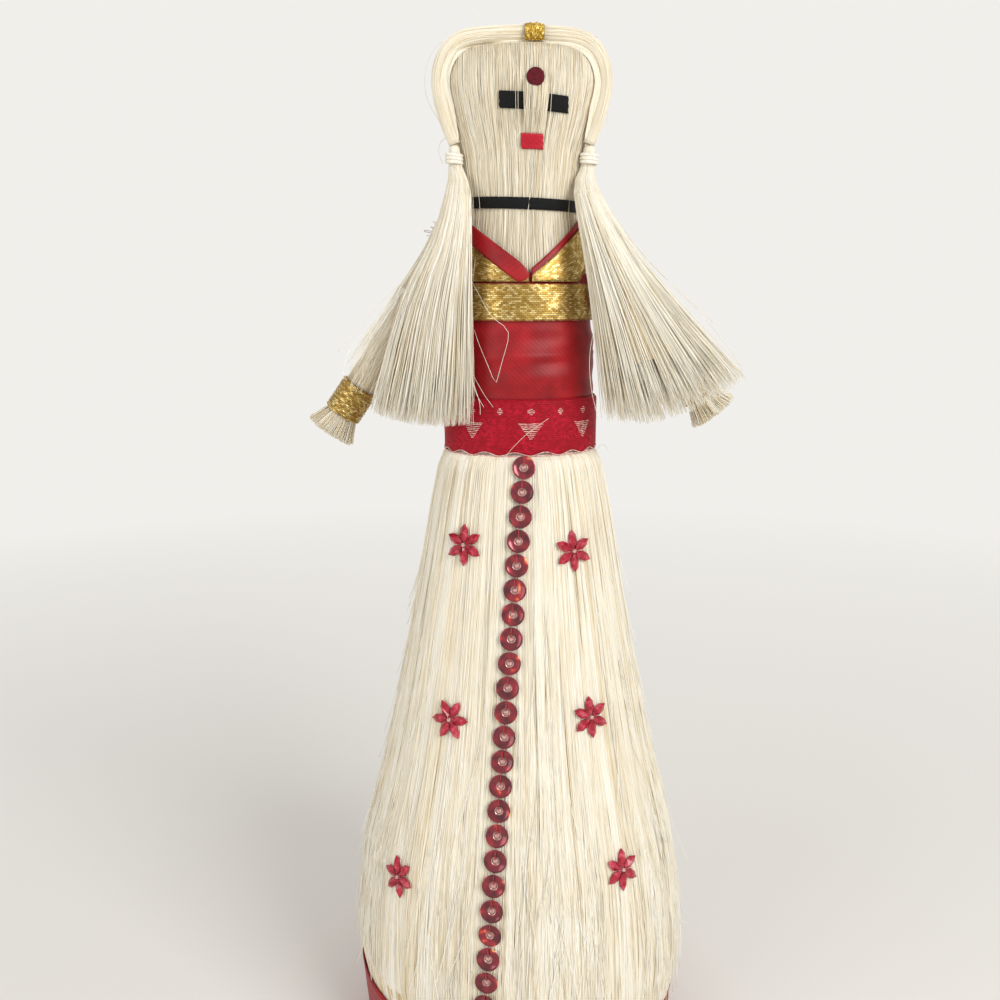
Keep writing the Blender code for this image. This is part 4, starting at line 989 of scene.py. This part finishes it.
# Side, length to the fingers in mm, and degrees below level
ARMS = {"left": (-1, 51.1, 55.4), "right": (1, 47.5, 50.9)}
COUNT = 1000
for side, (sign, length, below) in ARMS.items():
    down = np.array((sign * math.cos(math.radians(below)), 0, -math.sin(math.radians(below))))
    across = np.array((sign * math.sin(math.radians(below)), 0, math.cos(math.radians(below))))
    axes = np.array([across, (0, 1, 0), down])

    def on_arm(points):
        return shoulder_at[side] + points * MM @ axes

    wrist = length - HAND
    steps = np.array([-4.6, -3.2, 0, 5, 12, 22, wrist - 9.4, wrist - 4, wrist - 0.3, wrist + 1.5,
                      wrist + 3.6, length])
    size = np.interp(steps, [-4.6, -3.2, 0, 5, wrist - 0.3, length], [1.2, 3.6, 4.7] + [ARM_RADIUS] * 3)
    fan = np.clip((steps - wrist) / HAND, 0, 1) ** 0.8
    radius, turn = np.sqrt(rng.random(COUNT)), rng.uniform(0, 2 * np.pi, COUNT)
    p, q = (radius * np.cos(turn))[:, None], (radius * np.sin(turn))[:, None]
    wide = size + (HAND_WIDE - ARM_RADIUS) * fan
    deep = size + (HAND_DEEP - ARM_RADIUS) * fan
    along = np.tile(steps, (COUNT, 1))
    along[:, -1] += 0.8 * (1 - radius ** 2) - rng.uniform(0, 0.9, COUNT)
    waver = 0.12 * np.sin(along / 5 + rng.uniform(0, 6.3, (COUNT, 1)))
    paths = on_arm(np.stack([p * wide + waver * (fan == 0), q * deep, along], -1))
    radii = rng.uniform(0.08, 0.13, (COUNT, 1)) * MM
    outward = (p * 1.0)[..., None] * across + (q + 0.01)[..., None] * np.array((0, 1.0, 0)) + 0 * paths
    add_strands(f"{side}_arm_strands", paths, radii, outward, rng.normal(0.52, 0.18, COUNT), fibre,
                f"{side}_arm", [f"arm_{side}"])
    around = all_round(40)
    rows = []
    for step in (-4.2, -3.2, -1, 3, 12, wrist - 12, wrist - 5, wrist + 0.5, wrist + 3):
        core = np.interp(step, [-4.2, -3.2, -1, 3, wrist + 0.5, wrist + 3], [1.5, 3, 4.1, 4.0, 3.95, 4.2])
        rows.append(on_arm(ring(core, around, step)))
    add_sheet(f"{side}_arm_core", np.array(rows), packed, f"{side}_arm")

    around = all_round(72)
    rows = []
    for share in np.linspace(0, 1, 12):
        pucker = 0.13 * np.sin(9 * around + 2 * share) * share + 0.08 * np.sin(23 * around)
        r = 5.15 + 0.2 * share + pucker
        ragged = 0.25 * np.sin(5 * around) * share
        rows.append(on_arm(ring(r, around, SLEEVE_AT + SLEEVE * share + ragged)))
    for share in np.linspace(1, 0, 3):
        r = 4.74 + 0.2 * share
        ragged = 0.25 * np.sin(5 * around) * share
        rows.append(on_arm(ring(r, around, SLEEVE_AT + SLEEVE * share + ragged)))
    add_sheet(f"{side}_sleeve_satin", np.array(rows), satin, f"{side}_arm",
              [f"sleeve_{side}"], joined=True)

    cuff_at = wrist - CUFF - 0.3
    around = all_round(160)
    rows = []
    for share in np.linspace(0, 1, 61):
        brick = np.abs(np.sin(np.pi * share * 10)) * (0.6 + 0.4
                                                      * np.cos(16 * around + np.pi * (int(share * 10) % 2)))
        r = 4.98 + 0.2 * brick
        rows.append(on_arm(ring(r, around, cuff_at + CUFF * share)))
    for share in (1, 0):
        rows.append(on_arm(ring(4.73, around, cuff_at + CUFF * share)))
    add_sheet(f"{side}_cuff_gilt", np.array(rows), gilt, f"{side}_arm", [f"cuff_{side}"],
              joined=True)


# Sequins
# Cupped maroon film sequins sewn in one row down the front. Each has a pale bead of glue in its
# punched centre, and a stitch of red thread from there over its upper edge.

# Metallised film: a dark maroon mirror, with bright red and orange gold glints painted on it in soft spots
# about 2.4 mm across
film, tree, shader = start_material("maroon_film", "#701322", 0.18, Metallic=0.5, Coat_Weight=0.7,
                                    Coat_Roughness=0.06)
coords = add(tree, "TexCoord")
painted_glint_spots = add(tree, "TexNoise", {"Vector": coords.outputs["Object"], "Scale": 1 / (2.4 * MM), "Detail": 1})
# Painted glints: the lightest spots are coloured bright red and orange gold
tint = add(tree, "ValToRGB", {0: painted_glint_spots.outputs["Fac"]}, stops=(
    (0.3, "#4E0B16"), (0.5, "#741422"), (0.66, "#961E2B"), (0.72, "#CC3E2E"), (0.79, "#EDB06A")))
cloth = add(tree, "UVMap", uv_map="cloth")
split = add(tree, "SeparateXYZ", {0: cloth.outputs[0]})
punched = add(tree, "Math", {0: split.outputs["Y"], 1: 0.16 * MM}, operation="LESS_THAN")
colour = add(tree, "Mix", {0: punched.outputs[0], 6: tint.outputs[0], 7: "#CFA098"}, data_type="RGBA")
tree.links.new(colour.outputs[2], shader.inputs["Base Color"])

# Dried clear glue: milky, a little pink from what it holds
glue, tree, shader = start_material("dried_glue", "#C9A097", 0.35)
mottle(tree, shader, 0.5 * MM, ((0.35, "#A66A66"), (0.65, "#D3ABA2")), detail=2)

# Sewing thread: matt red polyester
stitch, tree, shader = start_material("red_thread", "#A3242E", 0.6, Sheen_Weight=0.2)
mottle(tree, shader, 0.3 * MM, ((0.35, "#7E1620"), (0.65, "#C23A42")), detail=2)

around = all_round(36)
stitches = []
for name in sorted(node for node in nodes if node.startswith("sequin_")):
    origin, axes = seat_of(name)
    lean = np.outer([*rng.normal(0, 0.04, 2), 0], (0, 0, 1))
    rows = []
    for radius, height in ((0.9, 0.2), (1.2, 0.21), (1.9, 0.3), (2.5, 0.42), (2.96, 0.55), (3, 0.5),
                           (2.5, 0.28), (1.9, 0.15), (1.2, 0.05), (0.9, 0)):
        rows.append(origin + (ring(radius, around, height) + ring(radius, around, 0) @ lean) * MM @ axes)
    add_sheet(name.replace("sequin", "maroon_sequin"), np.array(rows), film, "doll",
              [name], joined=True)
    rows = [origin + ring(r, around, h) * MM @ axes
            for r, h in ((0.7, -0.1), (0.7, 0.05), (0.58, 0.13), (0.35, 0.17), (0.1, 0.18))]
    add_sheet(name.replace("sequin", "sequin_glue"), np.array(rows), glue, "doll")
    for shift in (-0.12, 0.12):
        bow = np.array(((2 * shift, 0.35, 0.1), (shift, 0.7, 0.5), (shift, 1.6, 0.68), (0, 2.8, 0.84),
                        (0, 3.15, 0.6), (0, 3.2, 0.1)))
        stitches.append(origin + bow * MM @ axes)
stitches = np.array([smooth(line, 3) for line in stitches])
add_strands("sequin_thread", stitches, 0.1 * MM, (0, -1.0, 0.3), 1, stitch, "doll")


# Flowers
# Small red acrylic flowers, moulded with broad petals cut like gems and glued to the skirt,
# each turned as it fell. A pale bead of glue shows in the middle.

# Moulded acrylic: clear red and wet-looking, with painted light and shade: soft patches from dark red to pale
# pink-red stand for the bright and dark lit facets
acrylic, tree, shader = start_material("red_acrylic", "#A5182D", 0.08, Transmission_Weight=0.2, IOR=1.49)
mottle(tree, shader, 1.5 * MM, ((0.3, "#8A1022"), (0.5, "#B81E36"), (0.72, "#DE5A70")), detail=2)

PETAL = ((1.2, -0.45), (2.8, -0.46), (4.3, -0.25), (5.5, 0), (4.3, 0.25), (2.8, 0.46), (1.2, 0.45))
for name in sorted(node for node in nodes if node.startswith("flower_")):
    origin, axes = seat_of(name)
    spin = rng.uniform(0, 2 * np.pi)
    points, faces = [], []
    for petal in range(6):
        middle = spin + petal * np.pi / 3
        first = len(points)
        outline = [(0.6, 0)] + list(PETAL)
        high = [(reach, turn, 0.35 + 0.4 * (reach == 0.6)) for reach, turn in outline] + [(3.4, 0, 1.4),
                                                                                          (1.7, 0, 1.0)]
        for reach, turn, height in high + [(reach, turn, 0) for reach, turn in outline]:
            points.append((reach * math.cos(middle + turn), reach * math.sin(middle + turn), height))
        count = len(outline)
        ridge, dip = first + count, first + count + 1
        for k in range(count):
            a, b = first + k, first + (k + 1) % count
            low = first + count + 2
            faces.append((b, a, low + k, low + (k + 1) % count))
            if k in (0, count - 1):
                faces.append((a, b, dip))
            elif 2 <= k <= count - 3:
                faces.append((a, b, ridge))
        faces += [(first + 1, first + 2, ridge, dip), (first + count - 2, first + count - 1, dip, ridge)]
        faces.append([low + count - 1 - k for k in range(count)])
    points = origin + np.array(points) * MM @ axes
    flower = add_mesh(name.replace("flower", "acrylic_flower"), points, faces, acrylic, "doll",
                      [name])
    flower.data.shade_flat()
    around = all_round(16)
    rows = [origin + ring(r, around, h) * MM @ axes
            for r, h in ((0.55, 0.1), (0.6, 0.6), (0.52, 0.9), (0.35, 1.0), (0.1, 1.04))]
    add_sheet(name.replace("flower", "flower_glue"), np.array(rows), glue, "doll")
